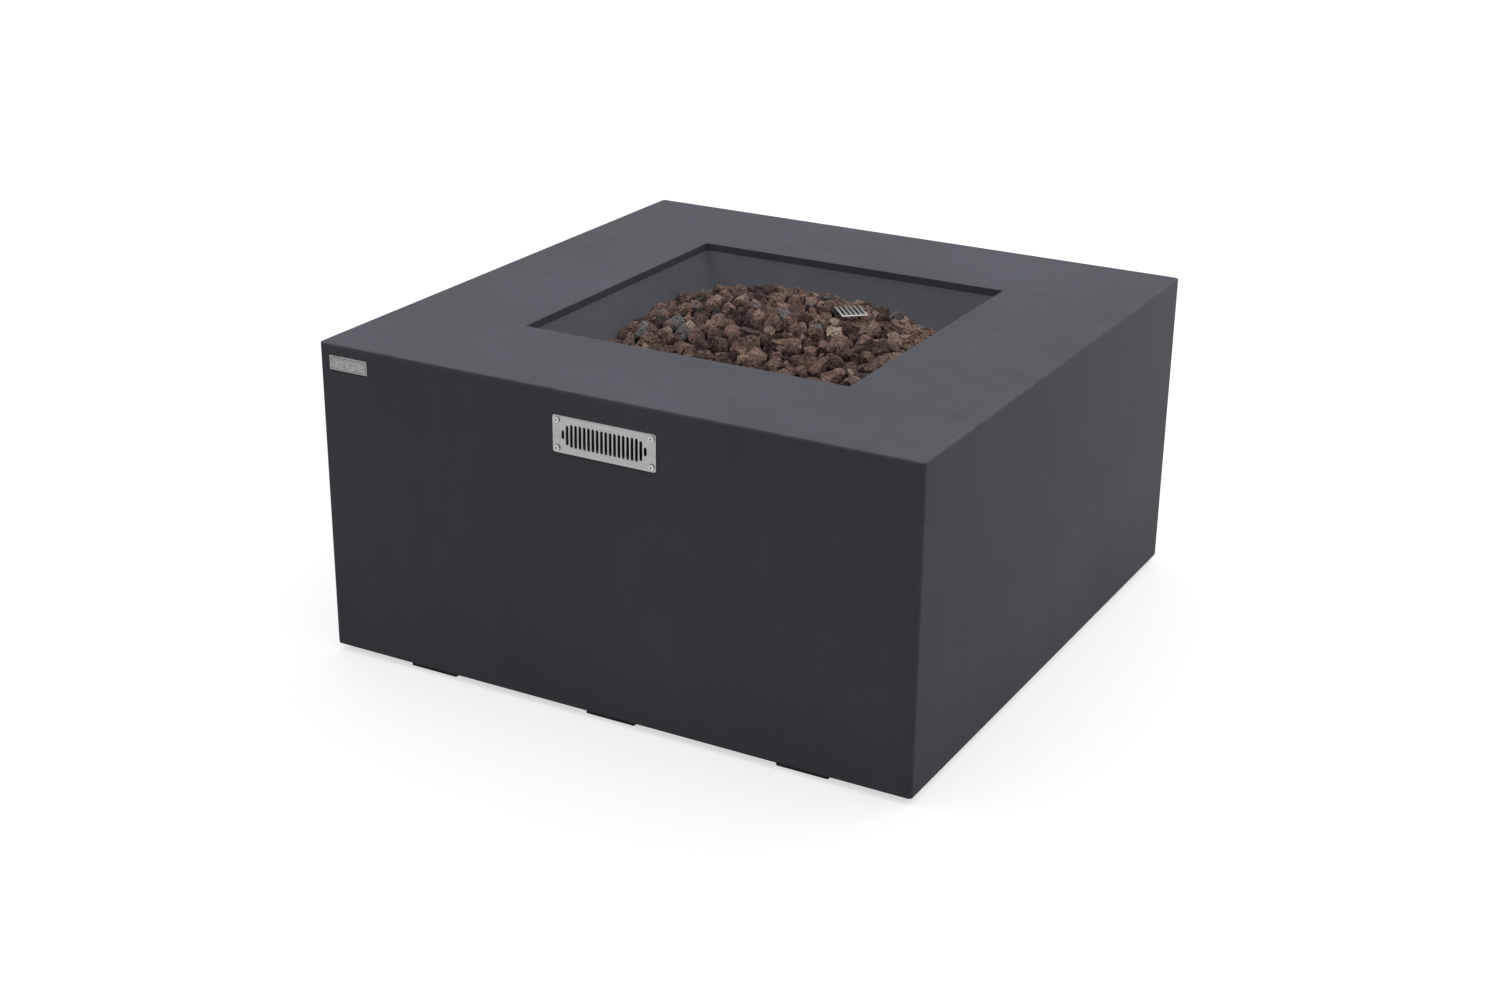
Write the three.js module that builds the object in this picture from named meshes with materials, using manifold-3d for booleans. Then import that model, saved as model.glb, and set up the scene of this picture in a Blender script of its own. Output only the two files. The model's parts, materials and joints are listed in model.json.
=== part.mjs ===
// A low, square gas fire table cast in glass-fibre concrete. The casing is a box that is open underneath and
// has a square opening in its top. A cast basin hangs under the opening, a burner pan sits on the basin's
// ledge, and lava rock covers the burner. The gas controls are on the -X side.
// Millimetres, +Z up. The ground is Z = 0, and X = 0 is halfway between the +X side and the knob's face.

import * as THREE from "three";
import { mergeVertices } from "three/addons/utils/BufferGeometryUtils.js";
import Module from "manifold-3d";

const wasm = await Module();
wasm.setup();

// ---- Driving dimensions ------------------------------------------------------------------------------

const SIDE = 914; // casing, square in plan
const BODY_HEIGHT = 457; // casing, without its feet
const WALL = 18;
const TOP_THICKNESS = 20;
const CORNER_RADIUS = 6;
const EDGE_RADIUS = 2.5;
const OPENING = 508; // square opening in the top
const LIP = 11; // upright edge of the opening, above the basin
const GAP = 0.3; // between pieces that touch
const CUT = 2; // how far a cutting solid runs past the face it cuts

const RIM = { width: 45, height: 24 }; // thick lower edge of the casing's walls
const FOOT = { perSide: 3, pitch: 294.6, length: 78, depth: 30, height: 10, setBack: 11, radius: 3 };

const BASIN = { depth: 100, run: 66, wall: 14, seat: 36, flange: 14, ledge: 13, ledgeThickness: 12 };
const PAN = { depth: 40, sheet: 1.5, sideGap: 3, flangeGap: 2 };
const BURNER = { fromPan: 37.5, tube: 8, lift: 18, stub: 11, stubLength: 52, ringSides: 32 };
const NUT = { radius: 20, height: 8 };
const BAFFLE = { fromPan: 62, sheet: 1.2, drop: 37, postInset: 12, postRadius: 3, stubGap: 2 };
const ROCK = { x: -35, y: 50, peakDrop: 26, fall: 42, fallRadius: 260, topSteps: 6, clearance: 0.6 };

const HOOD = {
  x: 62.7, fromPan: 37.8, turn: 0.716, // in plan, turned anticlockwise by 41 degrees
  width: 40, length: 51, drop: 30, sheet: 1.5,
  slots: 5, slot: 3.3, band: 6.5, slotFall: 13, wallBelow: 8, legWidth: 20, footLength: 18,
};
const ELECTRODE = { fromHood: 10.75, y: -6, radius: 3.5, tip: 1.2, tipDrop: 34, ceramicDrop: 46, below: 14 };
const THERMOCOUPLE = { x: -6, y: -4, radius: 3, underHood: 8, below: 12 };

const VENT = {
  x: 4.5, drop: 60.7, width: 157, height: 51.6, sheet: 1.5, radius: 3, inset: 6.4,
  pitch: 6.6, slot: 4.4, endBorder: 14.6, sideBorder: 9.8, ductMargin: 3,
};
const SCREW = {
  head: 4.4, headHeight: 2.1, shoulderHeight: 0.85, crown: 3.1, crownHeight: 1.85,
  shank: 1.9, length: 13, point: 2, slot: 1.1, slotDepth: 1.1, arm: 5,
};
const NAMEPLATE = { width: 63.4, height: 20.6, sheet: 1.2, fromCorner: 18, drop: 16, radius: 1 };

const PANEL = { width: 150, height: 84, sheet: 1.5, radius: 4, inset: 8 };
const KNOB = {
  x: -30, radius: 24, skirtHeight: 5, chamfer: 1.5, hub: 13.2, hubHeight: 8.25,
  grip: 15, gripWidth: 11, gripInset: 2, gripRadius: 3, gripEdge: 1, travel: 3.5, pressedGap: 0.8,
};
const VALVE = {
  size: 36, length: 57, casingGap: 2.5, fixingInset: 4, neckWall: 2.7, neckBore: 6.8, neckReach: 5.5, cup: 14,
};
const SPINDLE = {
  radius: 4, flatDepth: 1.6, shoulderGap: 0.8, shoulderHeight: 2, inKnob: 14, tail: 12, boreBelow: 8,
};
const COLLAR = { boreGap: 0.4, height: 1.6, recess: 1 };
const SPRING = { wire: 0.5, turns: 4, sides: 6, stepsPerTurn: 10 };
const OUTLET = { radius: 8, length: 10, bore: 4, boreDepth: 31 };
const INLET = {
  radius: 8, fromBack: 13, stub: 12, boreDepth: 22, bore: 4,
  hexRadius: 11, hexHeight: 9, thread: 8, length: 26, cone: 6, lip: 1,
};
const PROBE_PORT = { x: 11, y: 10, radius: 4, length: 6 };
const IGNITER = {
  x: 36, radius: 11, length: 64, casingGap: 1, bezelRim: 3, bezelHeight: 2.5, bore: 8.4, springSpace: 10,
  buttonGap: 0.4, buttonReach: 8, buttonTail: 10, buttonEdge: 1.5, dish: 0.6, nutRim: 5, nutHeight: 7,
};

const PIPE = { radius: 5, bore: 3.4 };
const MIXER = { radius: 13, bore: 9, length: 96, start: 22, windowFrom: 6, windowLength: 16, windowWidth: 7 };
const ELBOW = { wall: 6, sleeve: 3.5, reach: 36, drop: 13.3, overStub: 10.7, bore: 7 };
const ORIFICE = { nose: 12, head: 12, headLength: 12, bore: 1.5 };
const LEAD_RADIUS = 1.6;
const LEAD_START = 16; // how far each lead leaves its port straight

// ---- Levels worked out from them ---------------------------------------------------------------------

const HALF = SIDE / 2;
const TOP = FOOT.height + BODY_HEIGHT;
const MOUTH = OPENING / 2;
const SEAT_Z = TOP - LIP - GAP; // top of the basin
const LEDGE_Z = TOP - BASIN.depth;
const LEDGE_HALF = MOUTH - BASIN.run; // where the sloped walls meet the ledge
const PAN_HOLE = LEDGE_HALF - BASIN.ledge;
const PAN_HALF = PAN_HOLE - PAN.sideGap;
const PAN_TOP = LEDGE_Z + GAP + PAN.sheet;
const PAN_UNDER = LEDGE_Z + GAP - PAN.depth;
const PAN_FLOOR = PAN_UNDER + PAN.sheet;
const RING_Z = PAN_FLOOR + BURNER.lift;
const RING_RADIUS = PAN_HALF - BURNER.fromPan - PAN.sheet - BURNER.tube;
const STUB_END = PAN_UNDER - BURNER.stubLength;
const PIPE_Z = STUB_END - ELBOW.drop; // the gas line and the controls share this level
const HOOD_Z = TOP - HOOD.drop;
const HOOD_Y = PAN_HALF - HOOD.fromPan;
const ELECTRODE_PLACE = [HOOD.width / 2 + ELECTRODE.fromHood, ELECTRODE.y];
const THERMOCOUPLE_PLACE = [THERMOCOUPLE.x, THERMOCOUPLE.y];
const SCREW_HOLE = SCREW.shank + GAP;
const PANEL_FACE = GAP + PANEL.sheet;
const KNOB_BASE = VALVE.neckReach + KNOB.travel + KNOB.pressedGap;
const KNOB_FACE = KNOB_BASE + KNOB.skirtHeight + KNOB.grip;
const VALVE_HOLE = (VALVE.size / 2) * Math.SQRT2 + VALVE.casingGap; // clears the valve's square corners
const VALVE_FIXING = VALVE.size / 2 - VALVE.fixingInset;
const NECK = VALVE.neckBore + VALVE.neckWall;
const IGNITER_NUT = IGNITER.radius + IGNITER.nutRim;
const BEZEL_FACE = PANEL_FACE + GAP + IGNITER.bezelHeight;
const BARREL_END = BEZEL_FACE - IGNITER.length;

// ---- Solids ------------------------------------------------------------------------------------------

function solid(geometry) {
  const bare = geometry.clone();
  bare.deleteAttribute("normal");
  bare.deleteAttribute("uv");
  const merged = mergeVertices(bare, 1e-4);
  return new wasm.Manifold(
    new wasm.Mesh({
      numProp: 3,
      vertProperties: new Float32Array(merged.attributes.position.array),
      triVerts: new Uint32Array(merged.index.array),
    }),
  );
}

function geometryOf(manifold) {
  const mesh = manifold.getMesh();
  const geometry = new THREE.BufferGeometry();
  geometry.setAttribute("position", new THREE.BufferAttribute(mesh.vertProperties, 3));
  geometry.setIndex(new THREE.BufferAttribute(mesh.triVerts, 1));
  geometry.computeVertexNormals();
  return geometry;
}

const join = (first, ...rest) => rest.reduce((whole, piece) => whole.add(piece), first);
const cut = (first, ...rest) => rest.reduce((whole, piece) => whole.subtract(piece), first);

// A box centred on (x, y) in plan, standing on z.
function block(width, depth, height, x = 0, y = 0, z = 0) {
  return new THREE.BoxGeometry(width, depth, height).translate(x, y, z + height / 2);
}

// An upright cylinder or prism that stands on z.
function rod(radius, height, x = 0, y = 0, z = 0, sides = 24) {
  return new THREE.CylinderGeometry(radius, radius, height, sides)
    .rotateX(Math.PI / 2)
    .translate(x, y, z + height / 2);
}

// A cylinder along X, from startX to endX.
function rodAlongX(radius, startX, endX, y, z, sides = 24) {
  return new THREE.CylinderGeometry(radius, radius, endX - startX, sides)
    .rotateZ(Math.PI / 2)
    .translate((startX + endX) / 2, y, z);
}

// A square funnel shape, half-width lowHalf at lowZ and highHalf at highZ.
function funnel(lowHalf, lowZ, highHalf, highZ) {
  return new THREE.CylinderGeometry(highHalf * Math.SQRT2, lowHalf * Math.SQRT2, highZ - lowZ, 4)
    .rotateY(Math.PI / 4)
    .rotateX(Math.PI / 2)
    .translate(0, 0, (lowZ + highZ) / 2);
}

// A solid of revolution about Z, from a closed profile of [radius, z] points.
function turned(profile, sides = 24) {
  const points = profile.map(([radius, z]) => new THREE.Vector2(radius, z));
  return new THREE.LatheGeometry(points, sides).rotateX(Math.PI / 2);
}

function roundedOutline(width, height, radius, Outline = THREE.Shape) {
  const outline = new Outline();
  const x = width / 2 - radius;
  const y = height / 2 - radius;
  outline.absarc(x, y, radius, 0, Math.PI / 2);
  outline.absarc(-x, y, radius, Math.PI / 2, Math.PI);
  outline.absarc(-x, -y, radius, Math.PI, Math.PI * 1.5);
  outline.absarc(x, -y, radius, Math.PI * 1.5, Math.PI * 2);
  outline.closePath();
  return outline;
}

// A circle or an upright round-ended slot, as a hole in a sheet. halfHeight is measured to its round end.
function slotHole(x, y, radius, halfHeight = radius) {
  const hole = new THREE.Path();
  hole.absarc(x, y + halfHeight - radius, radius, 0, Math.PI);
  hole.absarc(x, y - halfHeight + radius, radius, Math.PI, Math.PI * 2);
  hole.closePath();
  return hole;
}

// A flat plate in the XY plane, from z upwards, with rounded corners and holes.
function plate(width, height, thickness, radius, holes = [], z = 0, curveSegments = 2) {
  const outline = roundedOutline(width, height, radius);
  outline.holes = holes;
  return new THREE.ExtrudeGeometry(outline, { depth: thickness, bevelEnabled: false, curveSegments })
    .translate(0, 0, z);
}

// A round bar or tube along a smooth curve through the points. It has two sides for each curve segment.
function barAlong(points, radius, bore, steps, curveSegments) {
  const section = new THREE.Shape().absarc(0, 0, radius, 0, Math.PI * 2);
  if (bore) section.holes.push(new THREE.Path().absarc(0, 0, bore, 0, Math.PI * 2));
  const extrudePath = new THREE.CatmullRomCurve3(points.map((p) => new THREE.Vector3(...p)));
  return new THREE.ExtrudeGeometry(section, { steps, curveSegments, extrudePath });
}

// ---- Materials ---------------------------------------------------------------------------------------

function finish(color, roughness, metalness) {
  return () => new THREE.MeshStandardMaterial({ color, roughness, metalness });
}

const concrete = finish(0x4b4c50, 0.75, 0);
const basinConcrete = finish(0x515257, 0.8, 0);
const pad = finish(0x2e2f32, 0.85, 0);
const stainless = finish(0xbfc0c2, 0.32, 1);
const galvanised = finish(0xa4a7a9, 0.5, 1);
const lavaRock = finish(0x644c42, 0.95, 0);
const brass = finish(0xc19a54, 0.35, 1);
const copper = finish(0xb26a44, 0.4, 1);
const ceramic = finish(0x2b2a2a, 0.5, 0);
const blackPlastic = finish(0x1b1b1c, 0.5, 0);
const springSteel = finish(0x8d9093, 0.35, 1);
const leadSleeve = finish(0x77201a, 0.6, 0);

function piece(name, shape, material) {
  const geometry = shape instanceof THREE.BufferGeometry ? shape : geometryOf(shape);
  const mesh = new THREE.Mesh(geometry, material());
  mesh.name = name;
  return mesh;
}

// ---- Places on the casing's sides --------------------------------------------------------------------

// A group on one side of the casing: +Z leaves the face, +Y is up, and (0, 0) is at mid-width and height z.
// A turn of 0 is the front (-Y), and the others follow clockwise seen from above.
function sideGroup(turn, z, ...children) {
  const upright = new THREE.Group();
  upright.rotation.x = Math.PI / 2;
  upright.position.set(0, -HALF, z);
  upright.add(...children);
  const side = new THREE.Group();
  side.rotation.z = -turn * (Math.PI / 2);
  side.add(upright);
  return side;
}

// The same move for a solid that cuts the casing.
function onSide(turn, z, geometry) {
  return solid(geometry.rotateX(Math.PI / 2).translate(0, -HALF, z).rotateZ(-turn * (Math.PI / 2)));
}

const FRONT = 0;
const LEFT = 1;
const REAR = 2;

function cornersOf(part) {
  const x = part.width / 2 - part.inset;
  const y = part.height / 2 - part.inset;
  return [[-x, -y], [x, -y], [x, y], [-x, y]];
}

function screw() {
  const { head, headHeight, shoulderHeight, crown, crownHeight } = SCREW;
  const { shank, length, point, slot, slotDepth, arm } = SCREW;
  const body = turned([
    [0, -length], [shank, -length + point], [shank, 0], [head, 0],
    [head, shoulderHeight], [crown, crownHeight], [0, headHeight],
  ], 12);
  const floor = headHeight - slotDepth;
  return cut(
    solid(body),
    join(solid(block(arm, slot, CUT, 0, 0, floor)), solid(block(slot, arm, CUT, 0, 0, floor))),
  );
}

// A screw at each corner of a plate that lies against the casing.
function cornerScrews(name, part) {
  return cornersOf(part).map(([x, y], index) => {
    const mesh = piece(`${name}_${index + 1}`, screw(), stainless);
    mesh.position.set((part.x ?? 0) + x, y, part.sheet + 2 * GAP);
    return mesh;
  });
}

function screwHolesInCasing(turn, z, part) {
  return cornersOf(part).map(([x, y]) =>
    onSide(turn, z, rod(SCREW_HOLE, SCREW.length + CUT, (part.x ?? 0) + x, y, -SCREW.length, 12)));
}

// ---- Casing, basin and feet --------------------------------------------------------------------------

const VENT_Z = TOP - VENT.drop;
const FIELD_LENGTH = VENT.width - 2 * VENT.endBorder;
const FIELD_HEIGHT = VENT.height - 2 * VENT.sideBorder;

function casing() {
  const outer = new THREE.ExtrudeGeometry(
    roundedOutline(SIDE - 2 * EDGE_RADIUS, SIDE - 2 * EDGE_RADIUS, CORNER_RADIUS - EDGE_RADIUS),
    {
      depth: BODY_HEIGHT - 2 * EDGE_RADIUS, bevelThickness: EDGE_RADIUS, bevelSize: EDGE_RADIUS,
      bevelSegments: 2, curveSegments: 3,
    },
  ).translate(0, 0, FOOT.height + EDGE_RADIUS);
  const inside = SIDE - 2 * WALL;
  const insideRim = SIDE - 2 * RIM.width;
  const rimTop = FOOT.height + RIM.height;
  const seat = OPENING + 2 * BASIN.seat;
  const duct = () => plate(
    FIELD_LENGTH + 2 * VENT.ductMargin, FIELD_HEIGHT + 2 * VENT.ductMargin, WALL + 2 * CUT,
    FIELD_HEIGHT / 2, [], -WALL - CUT,
  ).translate(VENT.x, 0, 0);
  const bore = (x, radius) => rod(radius, WALL + 2 * CUT, x, 0, -WALL - CUT);
  return cut(
    solid(outer),
    solid(block(inside, inside, TOP - TOP_THICKNESS - rimTop, 0, 0, rimTop)),
    solid(block(insideRim, insideRim, RIM.height + CUT + 1, 0, 0, FOOT.height - CUT)),
    solid(block(seat, seat, TOP_THICKNESS - LIP + 1, 0, 0, TOP - TOP_THICKNESS - 1)),
    solid(block(OPENING, OPENING, TOP_THICKNESS + CUT, 0, 0, TOP - TOP_THICKNESS)),
    ...[FRONT, REAR].flatMap((turn) => [
      onSide(turn, VENT_Z, duct()),
      ...screwHolesInCasing(turn, VENT_Z, VENT),
    ]),
    onSide(LEFT, PIPE_Z, bore(KNOB.x, VALVE_HOLE)),
    onSide(LEFT, PIPE_Z, bore(IGNITER.x, IGNITER_NUT + IGNITER.casingGap)),
    ...screwHolesInCasing(LEFT, PIPE_Z, PANEL),
  );
}

function basin() {
  const slope = BASIN.run / (SEAT_Z - LEDGE_Z);
  const flangeSide = 2 * (MOUTH + BASIN.seat - GAP);
  const under = LEDGE_Z - BASIN.ledgeThickness;
  return cut(
    join(
      solid(funnel(LEDGE_HALF + BASIN.wall, under, MOUTH + BASIN.wall, SEAT_Z)),
      solid(block(flangeSide, flangeSide, BASIN.flange, 0, 0, SEAT_Z - BASIN.flange)),
    ),
    solid(funnel(LEDGE_HALF, LEDGE_Z, MOUTH + slope * CUT, SEAT_Z + CUT)),
    solid(block(2 * PAN_HOLE, 2 * PAN_HOLE, BASIN.ledgeThickness + 2 * CUT, 0, 0, under - CUT)),
  );
}

function feet() {
  const shape = geometryOf(solid(plate(FOOT.length, FOOT.depth, FOOT.height - GAP, FOOT.radius)));
  const middle = (FOOT.perSide - 1) / 2;
  return [["front", -1], ["rear", 1]].flatMap(([side, sign]) =>
    Array.from({ length: FOOT.perSide }, (_, index) => {
      const mesh = piece(`foot_${side}_${index + 1}`, shape, pad);
      const y = HALF - FOOT.setBack - FOOT.depth / 2;
      mesh.position.set((index - middle) * FOOT.pitch, sign * y, 0);
      return mesh;
    }));
}

// ---- Burner pan, burner and rock ---------------------------------------------------------------------

// Moves a geometry from the hood's own frame to the table's.
const atHood = (geometry) => geometry.rotateZ(HOOD.turn).translate(HOOD.x, HOOD_Y, 0);

function burnerPan() {
  const flange = 2 * (LEDGE_HALF - PAN.flangeGap);
  const inside = 2 * (PAN_HALF - PAN.sheet);
  const hole = (radius, [x, y] = [0, 0]) => rod(radius + GAP, PAN.sheet + 2 * CUT, x, y, PAN_UNDER - CUT);
  return cut(
    join(
      solid(block(flange, flange, PAN.sheet, 0, 0, PAN_TOP - PAN.sheet)),
      solid(block(2 * PAN_HALF, 2 * PAN_HALF, PAN.depth, 0, 0, PAN_UNDER)),
    ),
    solid(block(inside, inside, PAN.depth + CUT, 0, 0, PAN_FLOOR)),
    solid(hole(BURNER.stub)),
    solid(atHood(hole(ELECTRODE.radius, ELECTRODE_PLACE))),
    solid(atHood(hole(THERMOCOUPLE.radius, THERMOCOUPLE_PLACE))),
  );
}

// The ring, the cross tube that feeds it and the threaded stub; grow swells them all, to cut the rock.
function burner(grow = 0) {
  const tube = BURNER.tube + grow;
  return join(
    solid(new THREE.TorusGeometry(RING_RADIUS, tube, 8, BURNER.ringSides).translate(0, 0, RING_Z)),
    solid(rodAlongX(tube, -RING_RADIUS, RING_RADIUS, 0, RING_Z, 12)),
    solid(rod(BURNER.stub + grow, RING_Z + grow - STUB_END, 0, 0, STUB_END)),
  );
}

function burnerNut() {
  const z = PAN_UNDER - GAP - NUT.height;
  return cut(
    solid(rod(NUT.radius, NUT.height, 0, 0, z, 6)),
    solid(rod(BURNER.stub + GAP, NUT.height + 2 * CUT, 0, 0, z - CUT)),
  );
}

// The slotted hood over the flame sensor, in its own frame: the slots run back over the bend, +Y is the back.
function hood(grow = 0) {
  const { width, length, sheet, slotFall, wallBelow, legWidth, footLength } = HOOD;
  const base = PAN_FLOOR + GAP;
  const back = length / 2;
  const wallLow = HOOD_Z - slotFall - wallBelow;
  const swell = (wide, deep, high, y, z) =>
    solid(block(wide + 2 * grow, deep + 2 * grow, high + 2 * grow, 0, y, z - grow));
  return join(
    swell(width, length, sheet, 0, HOOD_Z - sheet),
    swell(width, sheet, HOOD_Z - wallLow, back - sheet / 2, wallLow),
    swell(legWidth, sheet, HOOD_Z - base, back - sheet / 2, base),
    swell(legWidth, footLength, sheet, back - footLength / 2, base),
  );
}

function slottedHood() {
  const { width, length, slot, band, slotFall } = HOOD;
  const bar = (width - HOOD.slots * slot) / (HOOD.slots + 1);
  const slots = Array.from({ length: HOOD.slots }, (_, index) => {
    const x = -width / 2 + bar + slot / 2 + index * (bar + slot);
    return solid(block(slot, length - band + CUT, slotFall + CUT, x, (band + CUT) / 2, HOOD_Z - slotFall));
  });
  return cut(hood(), ...slots);
}

function electrode(grow = 0) {
  const low = PAN_UNDER - ELECTRODE.below;
  const { radius, tip, tipDrop, ceramicDrop } = ELECTRODE;
  return join(
    solid(rod(radius + grow, TOP - ceramicDrop - low + grow, ...ELECTRODE_PLACE, low, 16)),
    solid(rod(tip + grow, TOP - tipDrop - low, ...ELECTRODE_PLACE, low, 8)),
  );
}

function thermocouple(grow = 0) {
  const low = PAN_UNDER - THERMOCOUPLE.below;
  const { radius, underHood } = THERMOCOUPLE;
  return solid(rod(radius + grow, HOOD_Z - underHood - low + grow, ...THERMOCOUPLE_PLACE, low, 16));
}

const inTableFrame = (manifold) => solid(atHood(geometryOf(manifold)));

function rockBed() {
  const { x, y, peakDrop, fall, fallRadius, topSteps, clearance } = ROCK;
  const corner = Math.hypot(MOUTH + Math.abs(x), MOUTH + Math.abs(y));
  const surface = (radius) => TOP - peakDrop - fall * (radius / fallRadius) ** 2;
  const mound = [[0, PAN_FLOOR + GAP], [corner, PAN_FLOOR + GAP]];
  for (let step = topSteps; step >= 0; step -= 1) {
    const radius = (corner * step) / topSteps;
    mound.push([radius, surface(radius)]);
  }
  const slope = BASIN.run / (SEAT_Z - LEDGE_Z);
  const over = PAN_TOP + GAP;
  const halfAt = (z) => LEDGE_HALF + slope * (z - LEDGE_Z) - clearance;
  const inPan = 2 * (PAN_HALF - PAN.sheet - clearance);
  const fill = join(
    solid(funnel(halfAt(over), over, halfAt(TOP), TOP)),
    solid(block(inPan, inPan, over + 1 - PAN_FLOOR - GAP, 0, 0, PAN_FLOOR + GAP)),
  );
  return cut(
    fill.intersect(solid(turned(mound, 28).translate(x, y, 0))),
    burner(clearance),
    inTableFrame(hood(clearance)),
    inTableFrame(electrode(clearance)),
    inTableFrame(thermocouple(clearance)),
  );
}

const BAFFLE_HALF = PAN_HALF - BAFFLE.fromPan;

function bafflePlate() {
  const z = PAN_UNDER - BAFFLE.drop;
  return cut(
    solid(block(2 * BAFFLE_HALF, 2 * BAFFLE_HALF, BAFFLE.sheet, 0, 0, z)),
    solid(rod(BURNER.stub + BAFFLE.stubGap, BAFFLE.sheet + 2 * CUT, 0, 0, z - CUT)),
  );
}

function bafflePosts() {
  const reach = BAFFLE_HALF - BAFFLE.postInset;
  const low = PAN_UNDER - BAFFLE.drop + BAFFLE.sheet + GAP;
  const corners = [[-1, -1], [1, -1], [1, 1], [-1, 1]];
  return corners.map(([x, y], index) => piece(
    `baffle_post_${index + 1}`,
    rod(BAFFLE.postRadius, PAN_UNDER - GAP - low, x * reach, y * reach, low, 12),
    galvanised,
  ));
}

// ---- Gas line from the orifice to the burner ---------------------------------------------------------

function feedElbow() {
  const { wall, sleeve, reach, overStub, bore } = ELBOW;
  const radius = BURNER.stub + wall;
  return cut(
    join(
      solid(rod(radius, STUB_END + overStub - PIPE_Z + radius, 0, 0, PIPE_Z - radius)),
      solid(rodAlongX(MIXER.radius + sleeve, -reach, 0, 0, PIPE_Z)),
    ),
    solid(rod(BURNER.stub + GAP, overStub + CUT, 0, 0, STUB_END - GAP)),
    solid(rod(bore, STUB_END - PIPE_Z + CUT, 0, 0, PIPE_Z)),
    solid(rodAlongX(bore, -reach, 0, 0, PIPE_Z)),
    solid(rodAlongX(MIXER.radius + GAP, -reach - CUT, -MIXER.start + GAP, 0, PIPE_Z)),
  );
}

const MIXER_END = -MIXER.start - MIXER.length;

function airMixer() {
  const tube = cut(
    solid(rodAlongX(MIXER.radius, MIXER_END, -MIXER.start, 0, PIPE_Z)),
    solid(rodAlongX(MIXER.bore, MIXER_END - CUT, -MIXER.start + CUT, 0, PIPE_Z)),
  );
  const middle = MIXER_END + ORIFICE.nose + MIXER.windowFrom + MIXER.windowLength / 2;
  const across = 2 * MIXER.radius + 2 * CUT;
  return cut(
    tube,
    solid(block(MIXER.windowLength, MIXER.windowWidth, across, middle, 0, PIPE_Z - across / 2)),
    solid(block(MIXER.windowLength, across, MIXER.windowWidth, middle, 0, PIPE_Z - MIXER.windowWidth / 2)),
  );
}

const ORIFICE_END = MIXER_END - GAP - ORIFICE.headLength;

function orifice() {
  const { head, nose, bore } = ORIFICE;
  return cut(
    join(
      solid(rodAlongX(head, ORIFICE_END, MIXER_END - GAP, 0, PIPE_Z, 6)),
      solid(rodAlongX(MIXER.bore - GAP, MIXER_END - 1, MIXER_END + nose, 0, PIPE_Z)),
    ),
    solid(rodAlongX(bore, ORIFICE_END - CUT, MIXER_END + nose + CUT, 0, PIPE_Z, 12)),
  );
}

// Where the valve's outlet ends, in the table's frame.
const VALVE_BACK = -HALF + GAP + VALVE.length;
const OUTLET_X = VALVE_BACK + OUTLET.length + GAP;
const VALVE_Y = -KNOB.x;

function gasPipe() {
  const start = OUTLET_X;
  const end = ORIFICE_END - GAP;
  const run = end - start;
  return barAlong([
    [start, VALVE_Y, PIPE_Z], [start + run * 0.2, VALVE_Y, PIPE_Z],
    [start + run * 0.75, 0, PIPE_Z], [end, 0, PIPE_Z],
  ], PIPE.radius, PIPE.bore, 16, 6);
}

// A place in the hood's own frame, in the table's.
const hoodPlace = ([x, y]) => {
  const point = new THREE.Vector3(x, y, 0).applyAxisAngle(new THREE.Vector3(0, 0, 1), HOOD.turn);
  return [point.x + HOOD.x, point.y + HOOD_Y];
};

// Both leads keep to a chosen route between their two ends. The sensor's copper tube runs above the gas pipe,
// from the valve to the thermocouple.
function thermocoupleLead() {
  const [x, y] = hoodPlace(THERMOCOUPLE_PLACE);
  const end = PAN_UNDER - THERMOCOUPLE.below - GAP;
  const start = [VALVE_BACK + PROBE_PORT.length + GAP, VALVE_Y - PROBE_PORT.x, PIPE_Z + PROBE_PORT.y];
  return barAlong([
    start, [start[0] + LEAD_START, start[1], start[2]], [-230, 118, PIPE_Z + 16], [-100, 136, PIPE_Z + 20],
    [x - 16, y + 10, end - 22], [x, y, end - 8], [x, y, end],
  ], LEAD_RADIUS, 0, 26, 4);
}

// The ignition lead passes under the gas pipe, from the igniter to the electrode.
function ignitionLead() {
  const [x, y] = hoodPlace(ELECTRODE_PLACE);
  const end = PAN_UNDER - ELECTRODE.below - GAP;
  const start = [-HALF - BARREL_END + GAP, -IGNITER.x, PIPE_Z];
  return barAlong([
    start, [start[0] + LEAD_START, start[1], start[2]], [-300, 40, PIPE_Z - 34], [-210, 140, PIPE_Z - 26],
    [-60, 168, PIPE_Z + 6], [x - 20, y + 10, end - 24], [x, y, end - 8], [x, y, end],
  ], LEAD_RADIUS, 0, 30, 4);
}

// ---- Vent grilles and nameplate ----------------------------------------------------------------------

function ventGrille() {
  // The slots fill a round-ended field, as far out as one is still longer than it is wide.
  const slotRadius = VENT.slot / 2;
  const endRadius = FIELD_HEIGHT / 2;
  const endCentre = FIELD_LENGTH / 2 - endRadius;
  const lastSlot = endCentre + Math.sqrt(endRadius ** 2 - slotRadius ** 2);
  const count = Math.floor((2 * lastSlot) / VENT.pitch) + 1;
  const slots = Array.from({ length: count }, (_, index) => {
    const x = (index - (count - 1) / 2) * VENT.pitch;
    const past = Math.max(0, Math.abs(x) - endCentre);
    return slotHole(x, 0, slotRadius, Math.sqrt(endRadius ** 2 - past ** 2));
  });
  const screwHoles = cornersOf(VENT).map(([x, y]) => slotHole(x, y, SCREW_HOLE));
  return plate(VENT.width, VENT.height, VENT.sheet, VENT.radius, [...slots, ...screwHoles], GAP)
    .translate(VENT.x, 0, 0);
}

function nameplate() {
  const x = -HALF + NAMEPLATE.fromCorner + NAMEPLATE.width / 2;
  return plate(NAMEPLATE.width, NAMEPLATE.height, NAMEPLATE.sheet, NAMEPLATE.radius, [], GAP)
    .translate(x, 0, 0);
}

// ---- Control panel: everything here is in the frame of the -X side -----------------------------------

const VALVE_FRONT = -GAP;

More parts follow.
